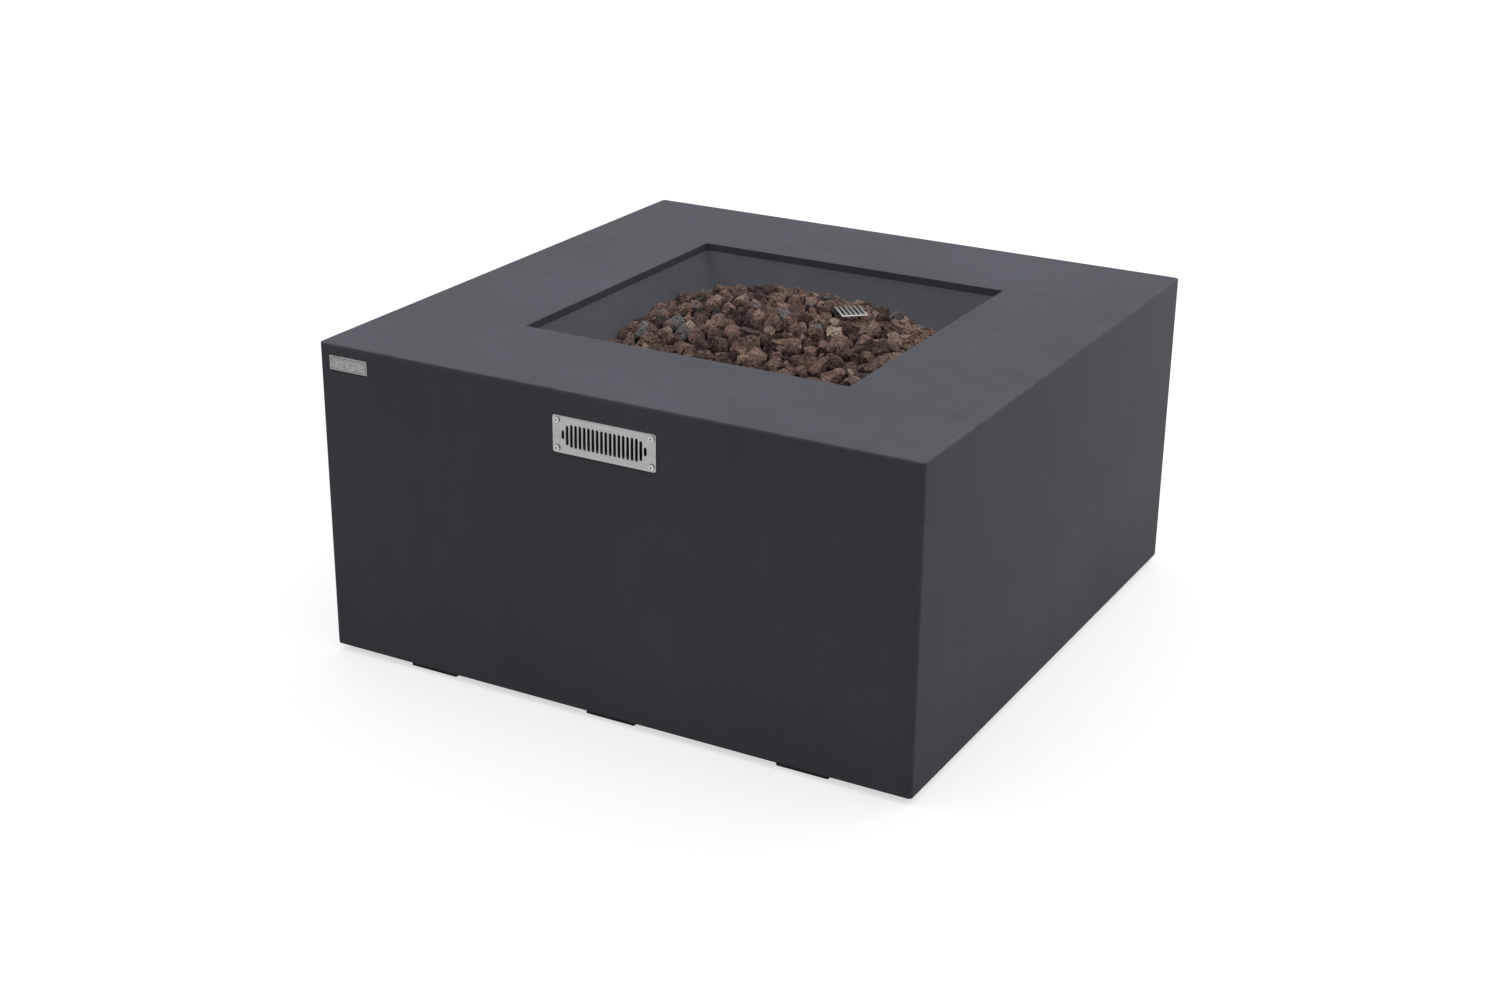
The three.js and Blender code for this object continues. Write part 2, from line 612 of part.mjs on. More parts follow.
function controlPlate() {
  const holes = [
    slotHole(KNOB.x, 0, NECK + GAP),
    slotHole(KNOB.x, VALVE_FIXING, SCREW_HOLE),
    slotHole(KNOB.x, -VALVE_FIXING, SCREW_HOLE),
    slotHole(IGNITER.x, 0, IGNITER.radius + GAP),
    ...cornersOf(PANEL).map(([x, y]) => slotHole(x, y, SCREW_HOLE)),
  ];
  return plate(PANEL.width, PANEL.height, PANEL.sheet, PANEL.radius, holes, GAP, 4);
}

const CUP_FLOOR = VALVE.neckReach - VALVE.cup;

function valveBody() {
  const back = VALVE_FRONT - VALVE.length;
  const inletEnd = -VALVE.size / 2 - INLET.stub;
  const down = (radius, top, bottom) => new THREE.CylinderGeometry(radius, radius, top - bottom, 20)
    .translate(KNOB.x, (top + bottom) / 2, back + INLET.fromBack);
  // A cylinder about the knob's axis, or beside it.
  const onAxis = (radius, low, high, x = 0, y = 0, sides = 24) =>
    solid(rod(radius, high - low, KNOB.x + x, y, low, sides));
  return cut(
    join(
      solid(block(VALVE.size, VALVE.size, VALVE.length, KNOB.x, 0, back)),
      onAxis(NECK, VALVE_FRONT - 1, VALVE.neckReach),
      onAxis(OUTLET.radius, back - OUTLET.length, back + 1),
      onAxis(PROBE_PORT.radius, back - PROBE_PORT.length, back + 1, PROBE_PORT.x, PROBE_PORT.y, 12),
      solid(down(INLET.radius, 0, inletEnd)),
    ),
    onAxis(VALVE.neckBore, CUP_FLOOR, VALVE.neckReach + CUT),
    onAxis(SPINDLE.radius + GAP, CUP_FLOOR - SPINDLE.tail - SPINDLE.boreBelow, CUP_FLOOR + 1),
    onAxis(OUTLET.bore, back - OUTLET.length - CUT, back - OUTLET.length + OUTLET.boreDepth),
    solid(down(INLET.bore, inletEnd + INLET.boreDepth, inletEnd - CUT)),
    ...[1, -1].map((side) => onAxis(SCREW_HOLE, -SCREW.length, CUT, 0, side * VALVE_FIXING, 12)),
  );
}

function valveScrews() {
  return [1, -1].map((side, index) => {
    const mesh = piece(`valve_screw_${index + 1}`, screw(), stainless);
    mesh.position.set(KNOB.x, side * VALVE_FIXING, PANEL_FACE + GAP);
    return mesh;
  });
}

function inletFitting() {
  const top = -VALVE.size / 2 - INLET.stub - GAP;
  const z = VALVE_FRONT - VALVE.length + INLET.fromBack;
  const { bore, lip, cone, thread, length, hexRadius, hexHeight } = INLET;
  const profile = [
    [bore, -length], [bore + lip, -length], [thread, -length + cone], [thread, 0], [bore, 0], [bore, -length],
  ];
  const upright = join(
    solid(turned(profile)),
    cut(
      solid(rod(hexRadius, hexHeight, 0, 0, -hexHeight, 6)),
      solid(rod((bore + thread) / 2, hexHeight + 2 * CUT, 0, 0, -hexHeight - CUT)),
    ),
  );
  // Its axis is vertical, which is the panel frame's Y.
  return geometryOf(upright).rotateX(-Math.PI / 2).translate(KNOB.x, top, z);
}

// The collar, the spindle and the knob slide in together by KNOB.travel.
const COLLAR_Z = VALVE.neckReach - COLLAR.recess - COLLAR.height;

function pressCollar() {
  return cut(
    solid(rod(VALVE.neckBore - COLLAR.boreGap, COLLAR.height, KNOB.x, 0, COLLAR_Z)),
    solid(rod(SPINDLE.radius + GAP, COLLAR.height + 2 * CUT, KNOB.x, 0, COLLAR_Z - CUT)),
  );
}

// A compression spring about the given axis, from low to high.
function coil(x, low, high, radius) {
  const { wire, turns, sides, stepsPerTurn } = SPRING;
  const steps = turns * stepsPerTurn;
  const points = Array.from({ length: steps + 1 }, (_, step) => {
    const angle = (step / stepsPerTurn) * Math.PI * 2;
    const z = low + wire + ((high - low - 2 * wire) * step) / steps;
    return [x + radius * Math.cos(angle), radius * Math.sin(angle), z];
  });
  return barAlong(points, wire, 0, steps, sides / 2);
}

function valveSpindle() {
  const shoulder = COLLAR_Z + COLLAR.height + GAP;
  const tail = CUP_FLOOR - SPINDLE.tail;
  const shaft = join(
    solid(rod(SPINDLE.radius, KNOB_BASE + SPINDLE.inKnob - GAP - tail, KNOB.x, 0, tail)),
    solid(rod(VALVE.neckBore - SPINDLE.shoulderGap, SPINDLE.shoulderHeight, KNOB.x, 0, shoulder)),
  );
  return cut(shaft, solid(spindleFlat(KNOB_BASE, 0)));
}

// The flat on the spindle's front end keys the knob to it.
function spindleFlat(z, clearance) {
  const { radius, flatDepth, inKnob } = SPINDLE;
  const y = radius - flatDepth + clearance + radius / 2;
  return block(4 * radius, radius, inKnob + 2 * CUT, KNOB.x, y, z);
}

function controlKnob() {
  const { radius, skirtHeight, chamfer, hub, hubHeight } = KNOB;
  const { grip, gripWidth, gripInset, gripRadius, gripEdge } = KNOB;
  const face = KNOB_BASE + skirtHeight;
  const skirt = turned([
    [0, KNOB_BASE], [radius, KNOB_BASE], [radius, face - chamfer], [radius - chamfer, face], [0, face],
  ], 32).translate(KNOB.x, 0, 0);
  const middle = rod(hub, hubHeight + 1, KNOB.x, 0, face - 1);
  const gripHalf = radius - gripInset - gripEdge;
  const gripOutline = roundedOutline(gripWidth - 2 * gripEdge, 2 * gripHalf, gripRadius);
  const bar = new THREE.ExtrudeGeometry(gripOutline, {
    depth: grip, bevelThickness: gripEdge, bevelSize: gripEdge, bevelSegments: 2, curveSegments: 2,
  }).translate(KNOB.x, 0, face - gripEdge);
  const bore = cut(
    solid(rod(SPINDLE.radius + GAP, SPINDLE.inKnob + CUT, KNOB.x, 0, KNOB_BASE - CUT)),
    solid(spindleFlat(KNOB_BASE - 1.5 * CUT, GAP)),
  );
  return cut(join(solid(skirt), solid(middle), solid(bar)), bore);
}

const BUTTON_BASE = BEZEL_FACE - IGNITER.buttonTail;
const BUTTON_BORE = BUTTON_BASE - IGNITER.springSpace;

function igniterBarrel() {
  const { radius, length, bezelRim, bezelHeight, bore, x } = IGNITER;
  return cut(
    join(
      solid(rod(radius + bezelRim, bezelHeight, x, 0, BEZEL_FACE - bezelHeight, 28)),
      solid(rod(radius, length, x, 0, BARREL_END)),
    ),
    solid(rod(bore, BEZEL_FACE - BUTTON_BORE + CUT, x, 0, BUTTON_BORE)),
  );
}

function igniterNut() {
  const { nutHeight, radius, x } = IGNITER;
  const z = -GAP - nutHeight;
  return cut(
    solid(rod(IGNITER_NUT, nutHeight, x, 0, z, 6)),
    solid(rod(radius + GAP, nutHeight + 2 * CUT, x, 0, z - CUT)),
  );
}

function igniterButton() {
  const { bore, buttonGap, buttonReach, buttonTail, buttonEdge, dish, x } = IGNITER;
  const radius = bore - buttonGap;
  const top = buttonTail + buttonReach;
  const third = buttonEdge / 3;
  return turned([
    [0, 0], [radius, 0], [radius, top - buttonEdge], [radius - third, top - third],
    [radius - buttonEdge, top], [0, top - dish],
  ], 28).translate(x, 0, BUTTON_BASE);
}

function controlPanel() {
  // The knob's spring lies midway between its spindle and its bore.
  const knobSpring = (SPINDLE.radius + VALVE.neckBore) / 2;
  const igniterSpring = IGNITER.bore / 2 + SPRING.wire;
  const knobCoil = coil(KNOB.x, CUP_FLOOR + GAP, COLLAR_Z - GAP, knobSpring);
  const igniterCoil = coil(IGNITER.x, BUTTON_BORE + GAP, BUTTON_BASE - GAP, igniterSpring);
  return sideGroup(
    LEFT, PIPE_Z,
    piece("control_plate", controlPlate(), stainless),
    ...cornerScrews("control_plate_screw", PANEL),
    piece("gas_valve", valveBody(), brass),
    ...valveScrews(),
    piece("gas_inlet_fitting", inletFitting(), brass),
    piece("press_collar", pressCollar(), brass),
    piece("knob_return_spring", knobCoil, springSteel),
    piece("valve_spindle", valveSpindle(), brass),
    piece("control_knob", controlKnob(), blackPlastic),
    piece("igniter_barrel", igniterBarrel(), blackPlastic),
    piece("igniter_nut", igniterNut(), blackPlastic),
    piece("igniter_button", igniterButton(), blackPlastic),
    piece("igniter_spring", igniterCoil, springSteel),
  );
}

// ---- The whole table ---------------------------------------------------------------------------------

function ventGroup(side, turn) {
  return sideGroup(
    turn, VENT_Z,
    piece(`${side}_vent_grille`, ventGrille(), stainless),
    ...cornerScrews(`${side}_vent_screw`, VENT),
  );
}

function pilotGroup() {
  const group = new THREE.Group();
  group.position.set(HOOD.x, HOOD_Y, 0);
  group.rotation.z = HOOD.turn;
  group.add(
    piece("pilot_hood", slottedHood(), stainless),
    piece("igniter_electrode", electrode(), ceramic),
    piece("thermocouple", thermocouple(), stainless),
  );
  return group;
}

const fireTable = new THREE.Group();
fireTable.position.x = KNOB_FACE / 2;
fireTable.add(
  piece("casing", casing(), concrete),
  piece("fire_basin", basin(), basinConcrete),
  ...feet(),
  piece("burner_pan", burnerPan(), stainless),
  piece("burner_ring", burner(), stainless),
  piece("burner_nut", burnerNut(), brass),
  piece("lava_rock_bed", rockBed(), lavaRock),
  pilotGroup(),
  piece("heat_baffle", bafflePlate(), galvanised),
  ...bafflePosts(),
  piece("feed_elbow", feedElbow(), brass),
  piece("air_mixer", airMixer(), galvanised),
  piece("gas_orifice", orifice(), brass),
  piece("gas_pipe", gasPipe(), galvanised),
  piece("thermocouple_lead", thermocoupleLead(), copper),
  piece("ignition_lead", ignitionLead(), leadSleeve),
  ventGroup("front", FRONT),
  ventGroup("rear", REAR),
  sideGroup(FRONT, TOP - NAMEPLATE.drop - NAMEPLATE.height / 2, piece("nameplate", nameplate(), stainless)),
  controlPanel(),
);

const root = new THREE.Group();
root.add(fireTable);

export default root;
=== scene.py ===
"""The looks of a low, square gas fire table cast in charcoal concrete.

The script is laid out as an add-on and run as a script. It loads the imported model, gives each piece its
finish, models the pieces that need finer shapes, and sets the stage. Lengths are in metres.
"""

import json
import math

import bmesh
import bpy
import numpy as np
from bpy.props import FloatProperty, FloatVectorProperty, IntProperty, PointerProperty
from mathutils import Euler, Matrix, Vector, noise


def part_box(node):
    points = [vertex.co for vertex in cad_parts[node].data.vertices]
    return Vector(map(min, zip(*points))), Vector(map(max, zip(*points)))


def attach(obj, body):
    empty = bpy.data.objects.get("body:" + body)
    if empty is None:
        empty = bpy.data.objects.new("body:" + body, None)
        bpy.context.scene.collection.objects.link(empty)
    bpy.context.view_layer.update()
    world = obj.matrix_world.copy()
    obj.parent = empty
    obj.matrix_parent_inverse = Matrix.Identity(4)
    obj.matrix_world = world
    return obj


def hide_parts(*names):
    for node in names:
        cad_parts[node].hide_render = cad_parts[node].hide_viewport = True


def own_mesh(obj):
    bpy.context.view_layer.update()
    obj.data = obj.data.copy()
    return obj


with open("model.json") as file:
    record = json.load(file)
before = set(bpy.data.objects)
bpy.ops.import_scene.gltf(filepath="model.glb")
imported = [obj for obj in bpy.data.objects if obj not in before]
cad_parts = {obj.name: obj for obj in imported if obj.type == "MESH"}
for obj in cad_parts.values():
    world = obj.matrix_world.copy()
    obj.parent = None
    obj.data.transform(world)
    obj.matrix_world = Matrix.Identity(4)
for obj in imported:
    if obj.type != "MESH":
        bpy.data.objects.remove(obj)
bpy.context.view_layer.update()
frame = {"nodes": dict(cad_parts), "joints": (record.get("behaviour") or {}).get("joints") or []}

bl_info = {
    "name": "Concrete fire table",
    "version": (1, 0, 0),
    "blender": (4, 5, 0),
    "location": "3D View > Sidebar > Fire Table",
    "description": "Finishes, loose lava rock and fine pieces for a square gas fire table",
    "category": "Object",
}

NODES = frame["nodes"]
TABLE = "fire_table"

# ---- Where things are, read from the frame ----------------------------------------------------------

CASING_LOW, CASING_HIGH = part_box("casing")
CENTRE_X = (CASING_LOW.x + CASING_HIGH.x) / 2
HALF = (CASING_HIGH.x - CASING_LOW.x) / 2
TOP = CASING_HIGH.z
MOUTH = 0.254  # half the opening's side
LIP = 0.011  # upright edge of the opening
LEDGE_HALF = 0.188  # where the basin's slopes end
LEDGE_Z = TOP - 0.1
HOOD_TURN = 0.716  # radians
HOOD_LENGTH = 0.051
HOOD_WIDTH = 0.040
HOOD_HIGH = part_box("pilot_hood")[1]
MOUND = (CENTRE_X - 0.035, 0.05)  # the rock's highest place, in plan


def midpoint(node):
    low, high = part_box(node)
    return (low + high) / 2


HOOD_MIDDLE = midpoint("pilot_hood")


# ---- Shader maths -----------------------------------------------------------------------------------


class Value:
    """A number that varies over a surface: an output socket, with maths on it written as expressions."""

    def __init__(self, finish, socket):
        self.finish = finish
        self.socket = socket

    def maths(self, operation, *inputs):
        values = {index: value for index, value in enumerate(inputs)}
        node = self.finish.add("ShaderNodeMath", {"operation": operation}, values)
        return Value(self.finish, node.outputs[0])

    def __add__(self, other):
        return self.maths("ADD", self, other)

    def __radd__(self, other):
        return self.maths("ADD", other, self)

    def __sub__(self, other):
        return self.maths("SUBTRACT", self, other)

    def __rsub__(self, other):
        return self.maths("SUBTRACT", other, self)

    def __mul__(self, other):
        return self.maths("MULTIPLY", self, other)

    def __rmul__(self, other):
        return self.maths("MULTIPLY", other, self)

    def __abs__(self):
        return self.maths("ABSOLUTE", self)

    def above(self, limit):
        return self.maths("GREATER_THAN", self, limit)

    def below(self, limit):
        return self.maths("LESS_THAN", self, limit)

    def lesser(self, other):
        return self.maths("MINIMUM", self, other)

    def greater(self, other):
        return self.maths("MAXIMUM", self, other)

    def ramp(self, low, high, to_low=0.0, to_high=1.0):
        """Goes smoothly from to_low to to_high as the value goes from low to high."""
        values = {"Value": self, "From Min": low, "From Max": high, "To Min": to_low, "To Max": to_high}
        node = self.finish.add("ShaderNodeMapRange", {"interpolation_type": "SMOOTHSTEP"}, values)
        return Value(self.finish, node.outputs[0])


def shader_inputs(values):
    """Turns keywords such as base_color into the shader's own input names."""
    return {key.replace("_", " ").title().replace("Ior", "IOR"): value for key, value in values.items()}


class Finish:
    """A material and the short ways that this script adds nodes to it."""

    def __init__(self, name, **shader):
        self.material = bpy.data.materials.new(name)
        self.material.use_nodes = True
        self.tree = self.material.node_tree
        self.shader = self.tree.nodes["Principled BSDF"]
        self.place = self.add("ShaderNodeTexCoord").outputs["Object"]
        self.set(self.shader, shader_inputs(shader))

    def set(self, node, values):
        """Sets or links a node's inputs, which are named or numbered."""
        for key, value in values.items():
            socket = node.inputs[key]
            if isinstance(value, Value):
                value = value.socket
            if isinstance(value, bpy.types.NodeSocket):
                self.tree.links.new(value, socket)
            elif socket.type == "RGBA" and len(value) == 3:
                socket.default_value = (*value, 1.0)
            else:
                socket.default_value = value
        return node

    def add(self, kind, settings=None, values=None):
        """Adds a node. Its settings come first, and a ramp's stops are (position, colour) pairs."""
        node = self.tree.nodes.new(kind)
        for key, value in (settings or {}).items():
            if key == "stops":
                elements = node.color_ramp.elements
                while len(elements) < len(value):
                    elements.new(1.0)
                for element, (position, colour) in zip(elements, value):
                    element.position = position
                    element.color = (*colour, 1.0)
            else:
                setattr(node, key, value)
        return self.set(node, values or {})

    def axes(self):
        """The place's X, Y and Z as values."""
        node = self.add("ShaderNodeSeparateXYZ", values={0: self.place})
        return [Value(self, node.outputs[i]) for i in range(3)]

    def stretched(self, scale):
        return self.add("ShaderNodeMapping", values={"Vector": self.place, "Scale": scale}).outputs[0]

    def noise(self, scale, detail=4.0, roughness=0.55, place=None):
        values = {"Vector": place or self.place, "Scale": scale, "Detail": detail, "Roughness": roughness}
        return Value(self, self.add("ShaderNodeTexNoise", values=values).outputs[0])

    def cells(self, scale, output="Distance"):
        node = self.add("ShaderNodeTexVoronoi", values={"Vector": self.place, "Scale": scale})
        return Value(self, node.outputs[output])

    def attribute(self, name):
        return Value(self, self.add("ShaderNodeAttribute", {"attribute_name": name}).outputs["Fac"])

    def colours(self, factor, *stops):
        return self.add("ShaderNodeValToRGB", {"stops": stops}, {0: factor}).outputs[0]

    def mix(self, factor, first, second):
        """Mixes two colours, and factor is how much of the second one."""
        return self.add("ShaderNodeMix", {"data_type": "RGBA"}, {0: factor, 6: first, 7: second}).outputs[2]

    def shade(self, colour, amount):
        """Multiplies a colour by a value."""
        node = self.add("ShaderNodeVectorMath", {"operation": "SCALE"}, {0: colour, "Scale": amount})
        return node.outputs[0]

    def tint(self, colour):
        """A plain colour as a socket, to start a chain of mixes with."""
        return self.mix(0.0, colour, colour)

    def relief(self, height, depth):
        """A bump whose heights are in metres when depth is 1."""
        return self.add("ShaderNodeBump", values={"Height": height, "Distance": depth}).outputs[0]

    def done(self, **links):
        self.set(self.shader, shader_inputs(links))
        return self.material


# ---- Finishes ---------------------------------------------------------------------------------------

ARRIS_WIDTH = 0.007  # how far from an edge the concrete is worn paler
# height up to which painted shade darkens the casing towards the floor
FOOT_SHADE_HEIGHT = 0.17
LIP_MARGIN = 0.006  # height over which the painted shade on the lip fades out
SOOT = (0.16, 0.12, 0.09)
# near black: the painted shade in the screw heads' seams and cross recesses
RECESS_SHADE = (0.012, 0.012, 0.013)
TARNISHED_BRASS = (0.3, 0.18, 0.08)
TARNISHED_COPPER = (0.3, 0.13, 0.08)
BORDER_INSET = (0.0021, 0.0028)  # the border line's two sides, in from the nameplate's edge
POINTER_HALF_WIDTH = 0.0011
POINTER_REACH = (0.006, 0.0195)  # from the knob's axis
POINTER_DEPTH = 0.0009  # the line is painted on the knob's face and stops here


def cast_concrete(name, settings, painted_brightness=1.0, lip=False):
    """Smooth charcoal concrete: clouded, faintly pocked, paler on its arrises, and with painted shade in its
    pits, towards its foot and, where asked, on the opening's upright edge.
    """
    f = Finish(name, specular_ior_level=settings.sheen)
    x, y, z = f.axes()
    clouds = f.noise(3.2, 5.0, 0.6)
    blotches = f.noise(17.0, 4.0, 0.62)
    streaks = f.noise(1.0, 3.0, 0.5, f.stretched((22.0, 22.0, 2.4)))
    grain = f.noise(900.0, 2.0, 0.6)
    tone = 1.0 + settings.clouding * (clouds - 0.5 + 0.55 * (blotches - 0.5) + 0.35 * (streaks - 0.5))
    tone = tone * grain.ramp(0.2, 0.8, 0.94, 1.06)
    # Air bubbles against the mould leave a few small round pits.
    pocks = f.cells(70.0)
    chosen = f.noise(23.0, 2.0).above(0.585)
    pit = pocks.ramp(0.05, 0.14, 1.0, 0.0) * chosen
    pinholes = f.cells(260.0).ramp(0.06, 0.2, 1.0, 0.0) * f.noise(60.0, 1.0).above(0.56)
    across, along, up = HALF - abs(x - CENTRE_X), HALF - abs(y), TOP - z
    arris = across.greater(along).lesser(across.greater(up)).lesser(along.greater(up))
    worn = arris.ramp(0.0, ARRIS_WIDTH, 1.0, 0.0) * f.noise(45.0, 5.0, 0.7).ramp(0.38, 0.62)
    # Painted shade: the pits and pinholes are darkened as shade inside them; the arrises are paler with wear.
    tone = tone * (1.0 - 0.35 * pit) * (1.0 - 0.22 * pinholes) * (1.0 + 0.22 * worn)
    # Painted shade: darker towards the floor, standing in for the dimmer light near the ground.
    foot_shade = z.ramp(0.0, FOOT_SHADE_HEIGHT, 1.0, 0.0)
    tone = tone * (1.0 - settings.foot_shade * foot_shade)
    # Painted shade: the opening's upright edge is darkened all round, standing in for the shadow in its
    # recess.
    if lip:
        inside = abs(x - CENTRE_X).greater(abs(y)).ramp(MOUTH + 0.0012, MOUTH + 0.0004)
        level = z.ramp(TOP - LIP - LIP_MARGIN, TOP - LIP - 0.002) * z.ramp(TOP - 0.0004, TOP - 0.0022)
        tone = tone * (1.0 - settings.lip_painted_shade * inside * level)
    colour = f.shade(f.tint([c * painted_brightness for c in settings.colour]), tone)
    height = 0.5 * grain + 1.6 * blotches - 6.0 * pit - 2.0 * pinholes
    rough = 0.74 + 0.16 * blotches + 0.1 * pit
    return f.done(base_color=colour, roughness=rough, normal=f.relief(height, 0.00011))


def moulded_pad(name):
    f = Finish(name, specular_ior_level=0.3)
    speck = f.noise(420.0, 3.0, 0.65)
    dust = f.noise(38.0, 4.0, 0.6).ramp(0.45, 0.75)
    colour = f.mix(0.35 * dust, (0.022, 0.023, 0.026), (0.09, 0.088, 0.085))
    return f.done(base_color=colour, roughness=0.7 + 0.2 * speck, normal=f.relief(speck, 0.0002))


def lava_stone(name, settings):
    """Porous lava rock. Attribute stone_tint gives each stone its colour, and the second attribute how deep
    it lies, for painted shade between the stones.
    """
    f = Finish(name, specular_ior_level=0.2)
    speckle = f.noise(260.0, 5.0, 0.7)
    patches = f.noise(70.0, 3.0, 0.6)
    body = f.colours(
        f.attribute("stone_tint"),
        (0.0, (0.020, 0.015, 0.013)), (0.12, (0.045, 0.029, 0.022)), (0.3, (0.105, 0.064, 0.045)),
        (0.55, (0.180, 0.113, 0.083)), (0.72, (0.27, 0.175, 0.132)), (0.84, (0.34, 0.265, 0.20)),
        (0.92, (0.155, 0.145, 0.135)), (1.0, (0.09, 0.086, 0.083)),
    )
    dusty = f.mix(patches.ramp(0.42, 0.68) * 0.38, body, settings.dust)
    pores = f.cells(330.0).ramp(0.16, 0.34, 1.0, 0.0)
    holes = f.cells(150.0).ramp(0.12, 0.3, 1.0, 0.0)
    # The speckle varies the tone at random; the pores and holes are darkened as painted shade inside them.
    speckle_and_pore_shade = speckle.ramp(0.25, 0.78, 0.45, 2.1) * (1.0 - 0.78 * pores.greater(holes))
    # Painted shade: a stone darkens the deeper it lies below the mound's level, and the bed is darkest,
    # standing in for the shade between the stones.
    colour = f.shade(dusty, speckle_and_pore_shade * (1.0 - 0.75 * f.attribute("stone_low")))
    # Painted highlight: sparse pale specks stand in for glints of light, and they are also glossier.
    painted_glint = f.noise(1500.0, 0.0).above(0.77)
    colour = f.mix(0.4 * painted_glint, colour, (0.7, 0.66, 0.62))
    height = 1.2 * speckle + 1.2 * patches - 1.1 * pores - 1.6 * holes
    return f.done(base_color=colour, roughness=0.95 - 0.3 * painted_glint, normal=f.relief(height, 0.0014))


def brushed_steel(name, colour, grain=(3.0, 500.0, 500.0), roughness=0.3, soot=0.0, recess_shaded=False):
    """Satin steel with a fine grain, smudges, soot near the flame, and painted shade where a vertex attribute
    says.
    """
    f = Finish(name, metallic=1.0)
    brushing = f.noise(1.0, 3.0, 0.7, f.stretched(grain))
    smudge = f.noise(26.0, 4.0, 0.6)
    tone = brushing.ramp(0.25, 0.75, 0.9, 1.06) * smudge.ramp(0.3, 0.75, 1.0, 0.93)
    shaded = f.shade(f.tint(colour), tone)
    if soot:
        burnt = f.noise(55.0, 4.0, 0.65).ramp(0.4, 0.7) * soot
        shaded = f.mix(burnt, shaded, SOOT)
    # Painted shade: nearly black where the attribute says, in the screws' seams and recesses.
    if recess_shaded:
        shaded = f.mix(0.92 * f.attribute("grime"), shaded, RECESS_SHADE)
    rough = roughness + 0.1 * brushing + 0.12 * smudge
    return f.done(base_color=shaded, roughness=rough, normal=f.relief(brushing, 0.00002))


def engraved_steel(name, colour):
    """The blank nameplate: worn steel with a plain border line cut round it."""
    f = Finish(name, metallic=1.0)
    low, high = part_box("nameplate")
    middle, half = midpoint("nameplate"), (high - low) / 2
    x, _, z = f.axes()
    inward = (half.x - abs(x - middle.x)).lesser(half.z - abs(z - middle.z))
    line = inward.above(BORDER_INSET[0]) * inward.below(BORDER_INSET[1])
    worn = f.noise(420.0, 4.0, 0.7)
    brushing = f.noise(1.0, 3.0, 0.7, f.stretched((30.0, 500.0, 500.0)))
    tone = worn.ramp(0.3, 0.7, 0.5, 0.95) * brushing.ramp(0.25, 0.75, 0.88, 1.08) * (1.0 - 0.6 * line)
    return f.done(base_color=f.shade(f.tint(colour), tone), roughness=0.36 + 0.2 * worn + 0.2 * line,
                  normal=f.relief(brushing - 4.0 * line, 0.00003))


def galvanised(name):
    f = Finish(name, metallic=1.0)
    spangle = f.cells(130.0, "Color")
    tone = spangle.ramp(0.0, 1.0, 0.78, 1.08)
    dull = f.noise(30.0, 4.0).ramp(0.4, 0.7)
    colour = f.mix(0.5 * dull, f.shade(f.tint((0.5, 0.51, 0.52)), tone), (0.34, 0.35, 0.36))
    return f.done(base_color=colour, roughness=0.36 + 0.2 * dull + 0.08 * spangle)


def machined_brass(name, colour, tarnished):
    """Brass or copper, with browner tarnish in patches."""
    f = Finish(name, metallic=1.0)
    patina = f.noise(42.0, 5.0, 0.65).ramp(0.4, 0.68)
    lines = f.noise(1.0, 2.0, 0.6, f.stretched((900.0, 60.0, 60.0)))
    base = f.mix(0.55 * patina, colour, tarnished)
    rough = 0.24 + 0.26 * patina + 0.08 * lines
    return f.done(base_color=f.shade(base, lines.ramp(0.3, 0.7, 0.93, 1.05)), roughness=rough,
                  normal=f.relief(lines, 0.00002))


def glazed_ceramic(name):
    """The electrode's glazed body, sooted towards its tip, and its bare metal wire."""
    f = Finish(name)
    _, _, z = f.axes()
    soot = f.noise(140.0, 4.0, 0.7).ramp(0.35, 0.65)
    near = z.ramp(TOP - 0.075, TOP - 0.05)
    glaze = f.mix((0.45 + 0.5 * near) * (0.4 + 0.6 * soot), (0.62, 0.58, 0.5), (0.018, 0.016, 0.015))
    return f.done(base_color=glaze, roughness=0.25 + 0.45 * soot, normal=f.relief(soot, 0.00008))


def sleeve(name):
    f = Finish(name, specular_ior_level=0.4)
    knit = f.cells(900.0)
    fade = f.noise(30.0, 3.0).ramp(0.35, 0.7)
    colour = f.mix(0.4 * fade, (0.30, 0.028, 0.018), (0.16, 0.02, 0.016))
    return f.done(base_color=f.shade(colour, knit.ramp(0.1, 0.6, 1.05, 0.8)), roughness=0.55 + 0.2 * fade,
                  normal=f.relief(knit, 0.00015))


def black_plastic(name, pointer=False):
    """Fine-textured black plastic. The knob also has a white line that points from its centre to its rim."""
    f = Finish(name)
    leather = f.cells(1500.0)
    wear = f.noise(60.0, 4.0, 0.65).ramp(0.5, 0.75)
    colour = f.mix(0.3 * wear, (0.016, 0.016, 0.017), (0.045, 0.044, 0.043))
    if pointer:
        x, y, z = f.axes()
        middle = midpoint("control_knob")
        low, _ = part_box("control_knob")
        inner, outer = POINTER_REACH
        out = z - middle.z
        line = abs(y - middle.y).below(POINTER_HALF_WIDTH) * out.above(inner) * out.below(outer)
        colour = f.mix(line * x.below(low.x + POINTER_DEPTH), colour, (0.82, 0.82, 0.8))
    return f.done(base_color=colour, roughness=0.42 + 0.14 * wear, normal=f.relief(leather, 0.00008))


# ---- Modelling helpers ------------------------------------------------------------------------------

HARD_EDGE = 28.0  # degrees: edges that bend more than this are eased
TURNED_STEPS = 40
FOOT_EDGE = 0.0012  # how far the edges of each kind of piece are eased
CASTING_EDGE = 0.0008
KNOB_EDGE = 0.0007
FITTING_EDGE = 0.0006
BUTTON_EDGE = 0.0005
TUBE_EDGE = 0.0004


def finish_piece(obj, body, material, replaced):
    """Gives a new piece its material and its body, and hides the nodes that it stands for."""
    obj.data.materials.clear()
    obj.data.materials.append(material)
    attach(obj, body)
    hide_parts(*replaced)
    return obj


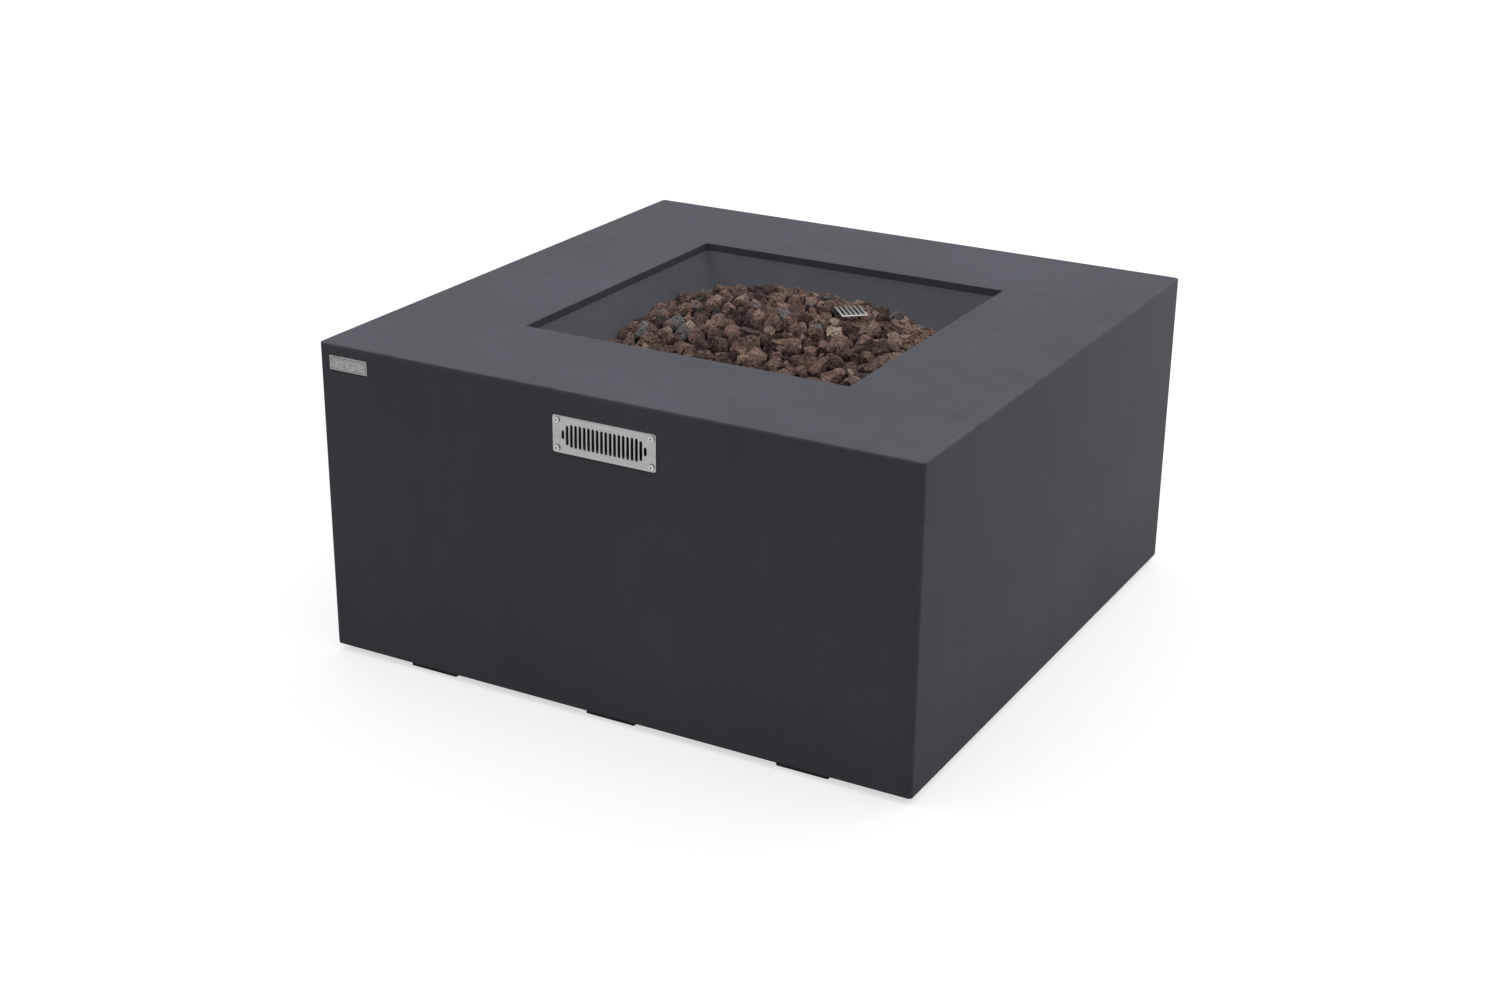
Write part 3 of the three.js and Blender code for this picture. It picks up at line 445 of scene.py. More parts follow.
def as_object(name, bm, smooth_below=None):
    """Turns a bmesh into an object at the origin, smooth where it bends less than smooth_below degrees."""
    mesh = bpy.data.meshes.new(name)
    bm.to_mesh(mesh)
    bm.free()
    obj = bpy.data.objects.new(name, mesh)
    bpy.context.scene.collection.objects.link(obj)
    if smooth_below is not None:
        mesh.shade_smooth()
        mesh.set_sharp_from_angle(angle=math.radians(smooth_below))
    return obj


def merged_copy(node):
    """A CAD node's mesh with its loose triangles joined and its flat faces made whole."""
    bm = bmesh.new()
    bm.from_mesh(NODES[node].data)
    bmesh.ops.remove_doubles(bm, verts=bm.verts, dist=2e-6)
    bmesh.ops.dissolve_limit(bm, angle_limit=math.radians(0.6), verts=bm.verts, edges=bm.edges)
    return bm


def eased(name, node, width, material, body=TABLE, segments=2):
    """A CAD piece with its hard edges eased, which stands for the node."""
    bm = merged_copy(node)
    hard = [e for e in bm.edges if e.is_manifold and e.calc_face_angle(0.0) > math.radians(HARD_EDGE)]
    bmesh.ops.bevel(
        bm, geom=hard, offset=width, offset_type="OFFSET", segments=segments, profile=0.5,
        affect="EDGES", material=-1, clamp_overlap=True,
    )
    bmesh.ops.triangulate(bm, faces=[face for face in bm.faces if len(face.verts) > 4])
    return finish_piece(as_object(name, bm, 40.0), body, material, [node])


def spun(name, profile, centre):
    """An upright turned piece from (radius, height) points that start and end on its axis."""
    bm = bmesh.new()
    verts = [bm.verts.new((radius, 0.0, height)) for radius, height in profile]
    edges = [bm.edges.new(pair) for pair in zip(verts, verts[1:])]
    bmesh.ops.spin(
        bm, geom=verts + edges, cent=(0, 0, 0), axis=(0, 0, 1), angle=math.tau, steps=TURNED_STEPS,
        use_merge=True, use_duplicate=False,
    )
    bmesh.ops.remove_doubles(bm, verts=bm.verts, dist=1e-6)
    bmesh.ops.recalc_face_normals(bm, faces=bm.faces)
    bmesh.ops.translate(bm, vec=centre, verts=bm.verts)
    return as_object(name, bm, 32.0)


def pressed_spring(name, node, joint, material):
    """A coil spring copied from its CAD node and given its own mesh. It reads how far its joint is pressed,
    but nothing shortens it.
    """
    low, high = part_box(node)
    travel = next(max(j["range_m"]) for j in frame["joints"] if j["name"] == joint)
    coil = finish_piece(as_object(name, merged_copy(node), 40.0), TABLE, material, [node])
    length = high.x - low.x
    1.0 - travel / length
    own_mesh(coil)


def paint(nodes, material):
    """Gives CAD nodes a material."""
    for node in nodes:
        slots = NODES[node].data.materials
        slots.clear()
        slots.append(material)


# ---- Screws -----------------------------------------------------------------------------------------

SCREW_HEAD = 0.0044  # radius
SCREW_HEIGHT = 0.0021
SCREW_GRID = 9  # squares across the head; the cross is one square wide
CROSS_ARM = 2.6  # squares from the middle to the end of an arm
CROSS_TAPER = 0.82


def add_screw_head(bm, grime, place, turn):
    """A pan head: a square grid drawn in to a disc and domed, with a cross recess pushed into it. Its rim,
    skirt and recess floor are marked for painted shade.
    """
    cell = 2.0 / SCREW_GRID
    made = bmesh.ops.create_grid(bm, x_segments=SCREW_GRID, y_segments=SCREW_GRID, size=1.0)
    verts = made["verts"]
    faces = list({face for vert in verts for face in vert.link_faces})

    def in_cross(face):
        x, y, _ = face.calc_center_median()
        return min(abs(x), abs(y)) < cell / 2 and max(abs(x), abs(y)) < CROSS_ARM * cell

    cross = [face for face in faces if in_cross(face)]
    rim = [edge for edge in {e for face in faces for e in face.edges} if edge.is_boundary]
    for vert in verts:
        x, y, _ = vert.co
        disc = Vector((x * math.sqrt(1 - y * y / 2), y * math.sqrt(1 - x * x / 2)))
        radius = min(1.0, disc.length)
        dome = 0.55 + 0.45 * math.sqrt(max(0.0, 1 - radius ** 2.6))
        vert.co = (disc.x * SCREW_HEAD, disc.y * SCREW_HEAD, dome * SCREW_HEIGHT)
        vert[grime] = 0.55 if radius > 0.97 else 0.0
    skirt = bmesh.ops.extrude_edge_only(bm, edges=rim)["geom"]
    low = [item for item in skirt if isinstance(item, bmesh.types.BMVert)]
    for vert in low:
        vert.co.z = 0.0
        vert[grime] = 1.0
    sunk = bmesh.ops.extrude_face_region(bm, geom=cross)["geom"]
    floor = [item for item in sunk if isinstance(item, bmesh.types.BMVert)]
    bmesh.ops.delete(bm, geom=cross, context="FACES")
    for vert in floor:
        vert.co.x *= CROSS_TAPER
        vert.co.y *= CROSS_TAPER
        vert.co.z = SCREW_HEIGHT / 3
        vert[grime] = 1.0
    whole = [vert for vert in verts + low + floor if vert.is_valid]
    bmesh.ops.transform(bm, matrix=place @ Matrix.Rotation(turn, 4, "Z"), verts=whole)


def screw_set(name, nodes, outward, material):
    """One piece for a set of like screws, whose heads face outward."""
    bm = bmesh.new()
    grime = bm.verts.layers.float.new("grime")
    facing = Vector((0, 0, 1)).rotation_difference(outward).to_matrix().to_4x4()
    for index, node in enumerate(nodes):
        middle = midpoint(node)
        reach = max((corner - middle).dot(outward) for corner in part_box(node))
        seat = middle + outward * (reach - SCREW_HEIGHT)
        add_screw_head(bm, grime, Matrix.Translation(seat) @ facing, 0.5 + 1.3 * index)
    bmesh.ops.recalc_face_normals(bm, faces=bm.faces)
    piece = as_object(name, bm, 50.0)
    return finish_piece(piece, TABLE, material, nodes)


# ---- Lava rock --------------------------------------------------------------------------------------

PEAK_DROP = 0.026  # the mound's peak, below the table top
FALL, FALL_RADIUS = 0.042, 0.26  # how far it falls, and over what distance
DIP, DIP_RADIUS = 0.007, 0.045  # a shallow dip round the pilot hood
DIP_SHIFT = (0.007, -0.013)  # from the hood's middle
SIZE_SPREAD = 0.32  # of the stones' sizes, as the sigma of their logarithm
STONE_OVERLAP = 0.93  # share of two radii at which stones count as touching
PUSH_SHARE = 0.28  # how much of an overlap one round takes away
RISE = 0.0004  # how far a round lifts the stones
PROUD = 0.4  # how far below the level a stone's middle stays, in radii
WALL_REACH = 1.02  # how near a stone's middle comes to a wall, in radii
HOOD_REACH = 0.9  # how near it comes to the hood in plan without having to lie under it
HOOD_GAP, UNDER_HOOD = 0.003, 1.1  # how far below the hood's top it then lies, and how many radii more
CORE_DROP = 0.026  # the bed under the stones, painted dark as shade, lies this far below the CAD's mound
CUTS = (5, 9)  # how many flat cuts a stone has: from 5 to 8
CUT_DISTANCE = (0.42, 0.8)  # from the stone's middle, in radii
LUMPS, CHIPS = 0.3, 0.07  # strength of the broad lumps and of the chips, in radii
STRETCH_LOW, STRETCH_HIGH = [1.0, 0.88, 0.7], [1.32, 1.12, 0.98]


def rock_level(x, y):
    """The mound's height over a place in the bowl, before the stones make it uneven."""
    radius_squared = (x - MOUND[0]) ** 2 + (y - MOUND[1]) ** 2
    dip_x, dip_y = x - HOOD_MIDDLE.x - DIP_SHIFT[0], y - HOOD_MIDDLE.y - DIP_SHIFT[1]
    dip = DIP * np.exp(-((dip_x ** 2 + dip_y ** 2) / DIP_RADIUS ** 2))
    return TOP - PEAK_DROP - FALL * radius_squared / FALL_RADIUS ** 2 - dip


def bowl_half(z):
    """Half the bowl's width at a height."""
    slope = (MOUTH - LEDGE_HALF) / (TOP - LIP - LEDGE_Z)
    return LEDGE_HALF + slope * (z - LEDGE_Z)


def hood_frame(places):
    """Places in plan, seen from the middle of the pilot hood and square to it."""
    offset = places[:, :2] - np.array([HOOD_MIDDLE.x, HOOD_MIDDLE.y])
    c, s = math.cos(-HOOD_TURN), math.sin(-HOOD_TURN)
    return offset @ np.array([[c, s], [-s, c]])


def keep_in_bowl(places, radii, depth):
    """Moves stones back below the mound's surface, inside the bowl's walls and below the pilot hood."""
    ceiling = rock_level(places[:, 0], places[:, 1]) - PROUD * radii
    places[:, 2] = np.clip(places[:, 2], ceiling - depth, ceiling)
    limit = bowl_half(places[:, 2]) - WALL_REACH * radii
    places[:, 0] = CENTRE_X + np.clip(places[:, 0] - CENTRE_X, -limit, limit)
    places[:, 1] = np.clip(places[:, 1], -limit, limit)
    room = np.array([HOOD_WIDTH / 2, HOOD_LENGTH / 2]) + HOOD_REACH * radii[:, None]
    under = (np.abs(hood_frame(places)) < room).all(1)
    places[under, 2] = np.minimum(places[under, 2], HOOD_HIGH.z - HOOD_GAP - UNDER_HOOD * radii[under])


def settle_stones(settings):
    """Places and radii of the stones: spheres that push each other apart inside the bowl."""
    rng = np.random.default_rng(settings.seed)
    count = settings.count
    drawn = rng.lognormal(math.log(settings.typical / 2), SIZE_SPREAD, count)
    radii = np.clip(drawn, settings.smallest / 2, settings.largest / 2)
    reach = bowl_half(TOP - 0.045) - 0.008
    places = np.column_stack([
        CENTRE_X + rng.uniform(-reach, reach, count), rng.uniform(-reach, reach, count), np.zeros(count)
    ])
    places[:, 2] = rock_level(places[:, 0], places[:, 1]) - rng.uniform(0.0, settings.depth, count)
    touching = (radii[:, None] + radii[None, :]) * STONE_OVERLAP
    for _ in range(settings.rounds):
        gap = places[:, None, :] - places[None, :, :]
        apart = np.sqrt((gap ** 2).sum(-1)) + 1e-9
        np.fill_diagonal(apart, 1.0)
        push = np.clip(touching - apart, 0.0, None)
        np.fill_diagonal(push, 0.0)
        places += PUSH_SHARE * (gap / apart[..., None] * push[..., None]).sum(1)
        places[:, 2] += RISE
        keep_in_bowl(places, radii, settings.depth)
    return places, radii, rng


def stone_shapes(rng, how_many):
    """Unit stones: small ico-spheres, cut flat by a few planes and made lumpy."""
    shapes = []
    for index in range(how_many):
        bm = bmesh.new()
        bmesh.ops.create_icosphere(bm, subdivisions=2, radius=1.0)
        for _ in range(int(rng.integers(*CUTS))):
            normal = Vector(rng.normal(size=3)).normalized()
            cut = bmesh.ops.bisect_plane(
                bm, geom=bm.verts[:] + bm.edges[:] + bm.faces[:], dist=1e-4,
                plane_co=normal * float(rng.uniform(*CUT_DISTANCE)), plane_no=normal, clear_outer=True,
            )["geom_cut"]
            rim = [item for item in cut if isinstance(item, bmesh.types.BMEdge)]
            bmesh.ops.edgeloop_fill(bm, edges=rim)
        bmesh.ops.remove_doubles(bm, verts=bm.verts, dist=0.15)
        bmesh.ops.triangulate(bm, faces=bm.faces)
        for vert in bm.verts:
            lump = noise.noise(vert.co * 1.7 + Vector((index * 3.1, 0, 0)))
            vert.co *= 1.0 + LUMPS * lump + float(rng.uniform(-CHIPS, CHIPS))
        usual = sum(vert.co.length for vert in bm.verts) / len(bm.verts)
        bmesh.ops.scale(bm, vec=Vector((1, 1, 1)) / usual, verts=bm.verts)
        bmesh.ops.recalc_face_normals(bm, faces=bm.faces)
        mesh = bpy.data.meshes.new(f"stone_shape_{index}")
        bm.to_mesh(mesh)
        bm.free()
        shapes.append(mesh)
    return shapes


def stone_tint(rng):
    """Most stones are brown, some pinkish or sandy, and a few grey or nearly black."""
    draw = rng.uniform()
    if draw < 0.76:
        return float(rng.uniform(0.14, 0.66))
    if draw < 0.87:
        return float(rng.uniform(0.62, 0.84))
    if draw < 0.965:
        return float(rng.uniform(0.0, 0.14))
    return float(rng.uniform(0.9, 1.0))


def loose_rock(settings, material):
    """The stones and the bed under them, painted dark as the shade between the stones, as one piece."""
    places, radii, rng = settle_stones(settings)
    shapes = stone_shapes(rng, settings.shapes)
    bm = bmesh.new()
    tint = bm.verts.layers.float.new("stone_tint")
    low = bm.verts.layers.float.new("stone_low")
    bed = merged_copy("lava_rock_bed")
    for vert in bed.verts:
        if vert.co.z > LEDGE_Z - 0.005:
            vert.co.z = max(vert.co.z - CORE_DROP, LEDGE_Z - 0.012)
    core = bpy.data.meshes.new("rock_core")
    bmesh.ops.triangulate(bed, faces=bed.faces)
    bed.to_mesh(core)
    bed.free()
    bm.from_mesh(core)
    # The bed takes the full painted shade.
    for vert in bm.verts:
        vert[low] = 1.0
    for place, radius in zip(places, radii):
        start = len(bm.verts)
        bm.from_mesh(shapes[int(rng.integers(len(shapes)))])
        bm.verts.ensure_lookup_table()
        verts = bm.verts[start:]
        stretch = Matrix.Diagonal([*(radius * rng.uniform(STRETCH_LOW, STRETCH_HIGH)), 1.0])
        turn = Euler(rng.uniform(0, math.tau, 3)).to_matrix().to_4x4()
        bmesh.ops.transform(bm, matrix=Matrix.Translation(place) @ turn @ stretch, verts=verts)
        shade = stone_tint(rng)
        for vert in verts:
            vert.co.z = min(vert.co.z, TOP - 0.002)
            vert[tint] = shade
            # painted shade: how far below the mound's level a vertex lies
            below = rock_level(vert.co.x, vert.co.y) - vert.co.z
            vert[low] = min(1.0, max(0.0, below / settings.shade_depth))
    for mesh in [*shapes, core]:
        bpy.data.meshes.remove(mesh)
    rocks = as_object("lava_rocks", bm, 24.0)
    return finish_piece(rocks, TABLE, material, ["lava_rock_bed"])


# ---- Settings ---------------------------------------------------------------------------------------


class FireTableConcrete(bpy.types.PropertyGroup):
    colour: FloatVectorProperty(name="Colour", description="Colour of the dry concrete",
                                subtype="COLOR", default=(0.096, 0.0977, 0.1105), min=0.0, max=1.0)
    clouding: FloatProperty(name="Clouding", description="How strongly the colour varies over a face",
                            default=0.5, min=0.0, max=1.0, subtype="FACTOR")
    sheen: FloatProperty(name="Sheen", description="Strength of the sealed surface's reflections",
                         default=0.16, min=0.0, max=1.0, subtype="FACTOR")
    # painted shade that darkens the casing towards the floor, standing in for the dimmer light near the
    # ground
    foot_shade: FloatProperty(name="Damp", description="How much darker the foot of the casing is",
                        default=0.2, min=0.0, max=1.0, subtype="FACTOR")
    # how much painted shade darkens the opening's upright edge, standing in for the shadow in its recess
    lip_painted_shade: FloatProperty(name="Lip darkening", description="How dark the opening's edge is stained",
                                 default=0.22, min=0.0, max=1.0, subtype="FACTOR")
    # painted light: the basin's copy of the concrete is made brighter than the casing's, standing in for more
    # light on the bowl's slopes
    basin_painted_light: FloatProperty(name="Basin tone", description="Brightness of the basin beside the casing",
                              default=1.12, min=0.5, max=1.5, subtype="FACTOR")


class FireTableRock(bpy.types.PropertyGroup):
    count: IntProperty(name="Stones", description="How many stones lie in the bowl",
                       default=1040, min=1, max=1600)
    shapes: IntProperty(name="Shapes", description="How many different stone shapes there are",
                        default=28, min=1)
    typical: FloatProperty(name="Typical size", description="Usual width of a stone",
                           default=0.0241, unit="LENGTH")
    smallest: FloatProperty(name="Smallest", description="Width of the smallest stones",
                            default=0.013, unit="LENGTH")
    largest: FloatProperty(name="Largest", description="Width of the largest stones",
                           default=0.038, unit="LENGTH")
    depth: FloatProperty(name="Depth", description="Depth of the loose stones", default=0.036, unit="LENGTH")
    # the painted shade between the stones is darkest at this depth; the description's soot is painted shade
    shade_depth: FloatProperty(name="Shade depth", description="How deep the darkest, sootiest stones lie",
                               default=0.022, unit="LENGTH")
    rounds: IntProperty(name="Rounds", description="How many times the stones push each other",
                        default=70, min=1)
    seed: IntProperty(name="Seed", description="Starting number for the random draws", default=11)
    dust: FloatVectorProperty(name="Dust", description="Colour of the dust on the stones",
                              subtype="COLOR", default=(0.21, 0.145, 0.12), min=0.0, max=1.0)


class FireTableMetal(bpy.types.PropertyGroup):
    steel: FloatVectorProperty(name="Steel", description="Colour of the stainless plates", subtype="COLOR",
                               default=(0.41, 0.41, 0.403), min=0.0, max=1.0)
    brass: FloatVectorProperty(name="Brass", description="Colour of the clean brass", subtype="COLOR",
                               default=(0.68, 0.49, 0.23), min=0.0, max=1.0)
    copper: FloatVectorProperty(name="Copper", description="Colour of the clean copper tube", subtype="COLOR",
                                default=(0.66, 0.33, 0.2), min=0.0, max=1.0)
    edge: FloatProperty(name="Edge", description="How far the sheet metal's edges are eased", default=0.00025,
                        unit="LENGTH", precision=5)


class FireTableStage(bpy.types.PropertyGroup):
    floor_size: FloatProperty(name="Floor size", description="Side of the floor",
                              default=60.0, unit="LENGTH")
    overhead: FloatProperty(name="Overhead light", description="Strength of the broad light above",
                            default=2.78)
    overhead_width: FloatProperty(name="Overhead width", description="Angle that the light above fills",
                                  default=math.radians(118.0), subtype="ANGLE")
    side: FloatProperty(name="Side light", description="Power of the softbox on the right",
                        default=13.5, unit="POWER")
    side_size: FloatProperty(name="Side size", description="Side of the softbox", default=0.8, unit="LENGTH")
    side_place: FloatVectorProperty(name="Side place", description="Where the softbox stands",
                                    subtype="TRANSLATION", default=(1.7, 1.7, 0.42), unit="LENGTH")
    surround: FloatProperty(name="Surround", description="Light from the pale room all round", default=0.036)
    gloss: FloatProperty(name="Gloss", description="Brightness of the room where the table mirrors it",
                         default=0.7)
    azimuth: FloatProperty(name="Camera azimuth", description="Camera's turn from the front to the right",
                           default=0.50151, subtype="ANGLE")
    elevation: FloatProperty(name="Camera elevation", description="How far the camera looks down",
                             default=0.38243, subtype="ANGLE")
    roll: FloatProperty(name="Camera roll", description="Camera's turn about its own axis", default=0.01218,
                        subtype="ANGLE")
    lens: FloatProperty(name="Lens", description="Focal length on a 36 mm sensor",
                        default=53.99, unit="CAMERA")
    place: FloatVectorProperty(name="Camera place", description="Where the camera stands",
                               subtype="TRANSLATION", default=(1.4927, -2.7494, 1.4229), unit="LENGTH")


class FireTableSettings(bpy.types.PropertyGroup):
    concrete: PointerProperty(type=FireTableConcrete, name="Concrete", description="The cast pieces")
    rock: PointerProperty(type=FireTableRock, name="Lava rock", description="The loose stones")
    metal: PointerProperty(type=FireTableMetal, name="Metal", description="Steel, brass and copper")
    stage: PointerProperty(type=FireTableStage, name="Stage", description="Floor, lights and camera")


# ---- Operators --------------------------------------------------------------------------------------


class FIRETABLE_OT_concrete(bpy.types.Operator):
    """Finishes the casing and the basin in cast concrete"""

    bl_idname = "firetable.concrete"
    bl_label = "Casing and Basin"

    def execute(self, context):
        settings = context.scene.fire_table.concrete
        paint(["casing"], cast_concrete("charcoal_concrete", settings, lip=True))
        # The basin is the same concrete painted brighter, as painted light on its slopes.
        paint(["fire_basin"], cast_concrete("basin_concrete", settings, settings.basin_painted_light))
        return {"FINISHED"}


class FIRETABLE_OT_feet(bpy.types.Operator):
    """Models the six feet with eased edges"""

    bl_idname = "firetable.feet"
    bl_label = "Feet"

    def execute(self, context):
        pad = moulded_pad("moulded_pad")
        for node in sorted(name for name in NODES if name.startswith("foot_")):
            eased(f"{node}_pad", node, FOOT_EDGE, pad, segments=3)
        return {"FINISHED"}


class FIRETABLE_OT_vents(bpy.types.Operator):
    """Models the two vent grilles and the blank nameplate with eased edges"""

    bl_idname = "firetable.vents"
    bl_label = "Vent Grilles and Nameplate"

    def execute(self, context):
        metal = context.scene.fire_table.metal
        steel = brushed_steel("vent_steel", metal.steel)
        for side in ("front", "rear"):
            eased(f"{side}_vent_cover", f"{side}_vent_grille", metal.edge, steel)
        plate = engraved_steel("nameplate_steel", metal.steel)
        eased("blank_nameplate", "nameplate", metal.edge, plate)
        return {"FINISHED"}


class FIRETABLE_OT_screws(bpy.types.Operator):
    """Models the domed screw heads with their cross recesses"""

    bl_idname = "firetable.screws"
    bl_label = "Screws"

    def execute(self, context):
        steel = brushed_steel("screw_steel", (0.6, 0.6, 0.59), (300.0, 300.0, 300.0), 0.2, recess_shaded=True)
        front, rear, control_side = Vector((0, -1, 0)), Vector((0, 1, 0)), Vector((-1, 0, 0))
        sets = [
            ("front_vent_screw", 4, front), ("rear_vent_screw", 4, rear),
            ("control_plate_screw", 4, control_side), ("valve_screw", 2, control_side),
        ]
        for stem, count, outward in sets:
            nodes = [f"{stem}_{number}" for number in range(1, count + 1)]
            screw_set(f"{stem}_heads", nodes, outward, steel)
        return {"FINISHED"}


class FIRETABLE_OT_rock(bpy.types.Operator):
    """Fills the bowl with loose lava rock"""

    bl_idname = "firetable.rock"
    bl_label = "Lava Rock"

    def execute(self, context):
        settings = context.scene.fire_table.rock
        loose_rock(settings, lava_stone("lava_stone", settings))
        return {"FINISHED"}


class FIRETABLE_OT_pilot(bpy.types.Operator):
    """Models the slotted pilot hood, the igniter's electrode and the flame sensor"""

    bl_idname = "firetable.pilot"
    bl_label = "Pilot"

    def execute(self, context):
        metal = context.scene.fire_table.metal
        sheet = brushed_steel("hood_steel", metal.steel, (300.0, 300.0, 300.0), 0.26, soot=0.25)
        eased("pilot_hood_plate", "pilot_hood", metal.edge, sheet)
        self.electrode(glazed_ceramic("sooted_ceramic"))
        self.sensor(brushed_steel("sensor_steel", metal.steel, soot=0.8))
        return {"FINISHED"}

    @staticmethod
    def electrode(ceramic):
        """A glazed rod on a narrower foot, with a wire tip."""
        low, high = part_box("igniter_electrode")
        middle = midpoint("igniter_electrode")
        body, tip = (high.x - low.x) / 2, 0.0012
        foot = body * 0.8
        shoulder = TOP - 0.046
        profile = [
            (0, low.z), (foot, low.z), (foot, low.z + 0.002), (body, low.z + 0.003), (body, shoulder - 0.003),
            (body * 0.86, shoulder - 0.0008), (tip * 1.5, shoulder), (tip, shoulder), (tip, high.z - 0.0006),
            (tip * 0.6, high.z), (0, high.z),
        ]
        rod = spun("electrode_rod", profile, (middle.x, middle.y, 0))
        finish_piece(rod, TABLE, ceramic, ["igniter_electrode"])

    @staticmethod
    def sensor(steel):
        """A round-ended tube."""
        low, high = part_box("thermocouple")
        middle = midpoint("thermocouple")
        radius = (high.x - low.x) / 2
        dome = high.z - radius
        angles = np.linspace(0, math.pi / 2, 7)[:-1]
        crown = [(radius * math.cos(a), dome + radius * math.sin(a)) for a in angles]
        profile = [(0, low.z), (radius, low.z), *crown, (0, high.z)]
        sensor = spun("flame_sensor", profile, (middle.x, middle.y, 0))
        finish_piece(sensor, TABLE, steel, ["thermocouple"])


class FIRETABLE_OT_burner(bpy.types.Operator):
    """Finishes the burner, its pan and the heat baffle"""

    bl_idname = "firetable.burner"
    bl_label = "Burner"

    def execute(self, context):
        metal = context.scene.fire_table.metal
        paint(["burner_pan", "burner_ring"], brushed_steel("burner_steel", metal.steel, soot=0.6))
        zinc = galvanised("zinc_sheet")
        eased("heat_baffle_plate", "heat_baffle", metal.edge, zinc)
        paint([f"baffle_post_{number}" for number in range(1, 5)], zinc)
        brass = machined_brass("fitting_brass", metal.brass, TARNISHED_BRASS)
        eased("burner_lock_nut", "burner_nut", CASTING_EDGE, brass)
        return {"FINISHED"}


class FIRETABLE_OT_gas_line(bpy.types.Operator):
    """Finishes the elbow, the mixer, the orifice, the pipe and the two leads"""

    bl_idname = "firetable.gas_line"
    bl_label = "Gas Line"

    def execute(self, context):
        metal = context.scene.fire_table.metal
        brass = machined_brass("gas_brass", metal.brass, TARNISHED_BRASS)
        zinc = galvanised("zinc_tube")
        eased("feed_elbow_casting", "feed_elbow", CASTING_EDGE, brass)
        eased("gas_orifice_fitting", "gas_orifice", FITTING_EDGE, brass)
        eased("air_mixer_tube", "air_mixer", TUBE_EDGE, zinc)
        paint(["gas_pipe"], zinc)
        paint(["thermocouple_lead"], machined_brass("lead_copper", metal.copper, TARNISHED_COPPER))
        paint(["ignition_lead"], sleeve("red_sleeve"))
        return {"FINISHED"}


class FIRETABLE_OT_controls(bpy.types.Operator):
    """Models the control plate, the valve, the knob and the igniter"""

    bl_idname = "firetable.controls"
    bl_label = "Controls"

    def execute(self, context):
        metal = context.scene.fire_table.metal
        plate = brushed_steel("control_plate_steel", metal.steel, (500.0, 3.0, 500.0))
        eased("control_panel_plate", "control_plate", metal.edge, plate)
        brass = machined_brass("valve_brass", metal.brass, TARNISHED_BRASS)
        eased("gas_valve_body", "gas_valve", CASTING_EDGE, brass)
        eased("gas_inlet_flare", "gas_inlet_fitting", FITTING_EDGE, brass)
        paint(["press_collar"], brass)
        eased("valve_stem", "valve_spindle", TUBE_EDGE, brass, "control_knob")
        wire = brushed_steel("spring_steel", (0.42, 0.43, 0.44), (400.0, 400.0, 400.0))
        pressed_spring("knob_spring_coil", "knob_return_spring", "knob_press", wire)
        pressed_spring("igniter_spring_coil", "igniter_spring", "igniter_press", wire)
        marked = black_plastic("knob_plastic", pointer=True)
        eased("control_knob_cap", "control_knob", KNOB_EDGE, marked, "control_knob", 3)
        black = black_plastic("igniter_plastic")
        eased("igniter_housing", "igniter_barrel", FITTING_EDGE, black)
        eased("igniter_lock_nut", "igniter_nut", CASTING_EDGE, black)
        eased("igniter_push_button", "igniter_button", BUTTON_EDGE, black, "igniter_button")
        return {"FINISHED"}


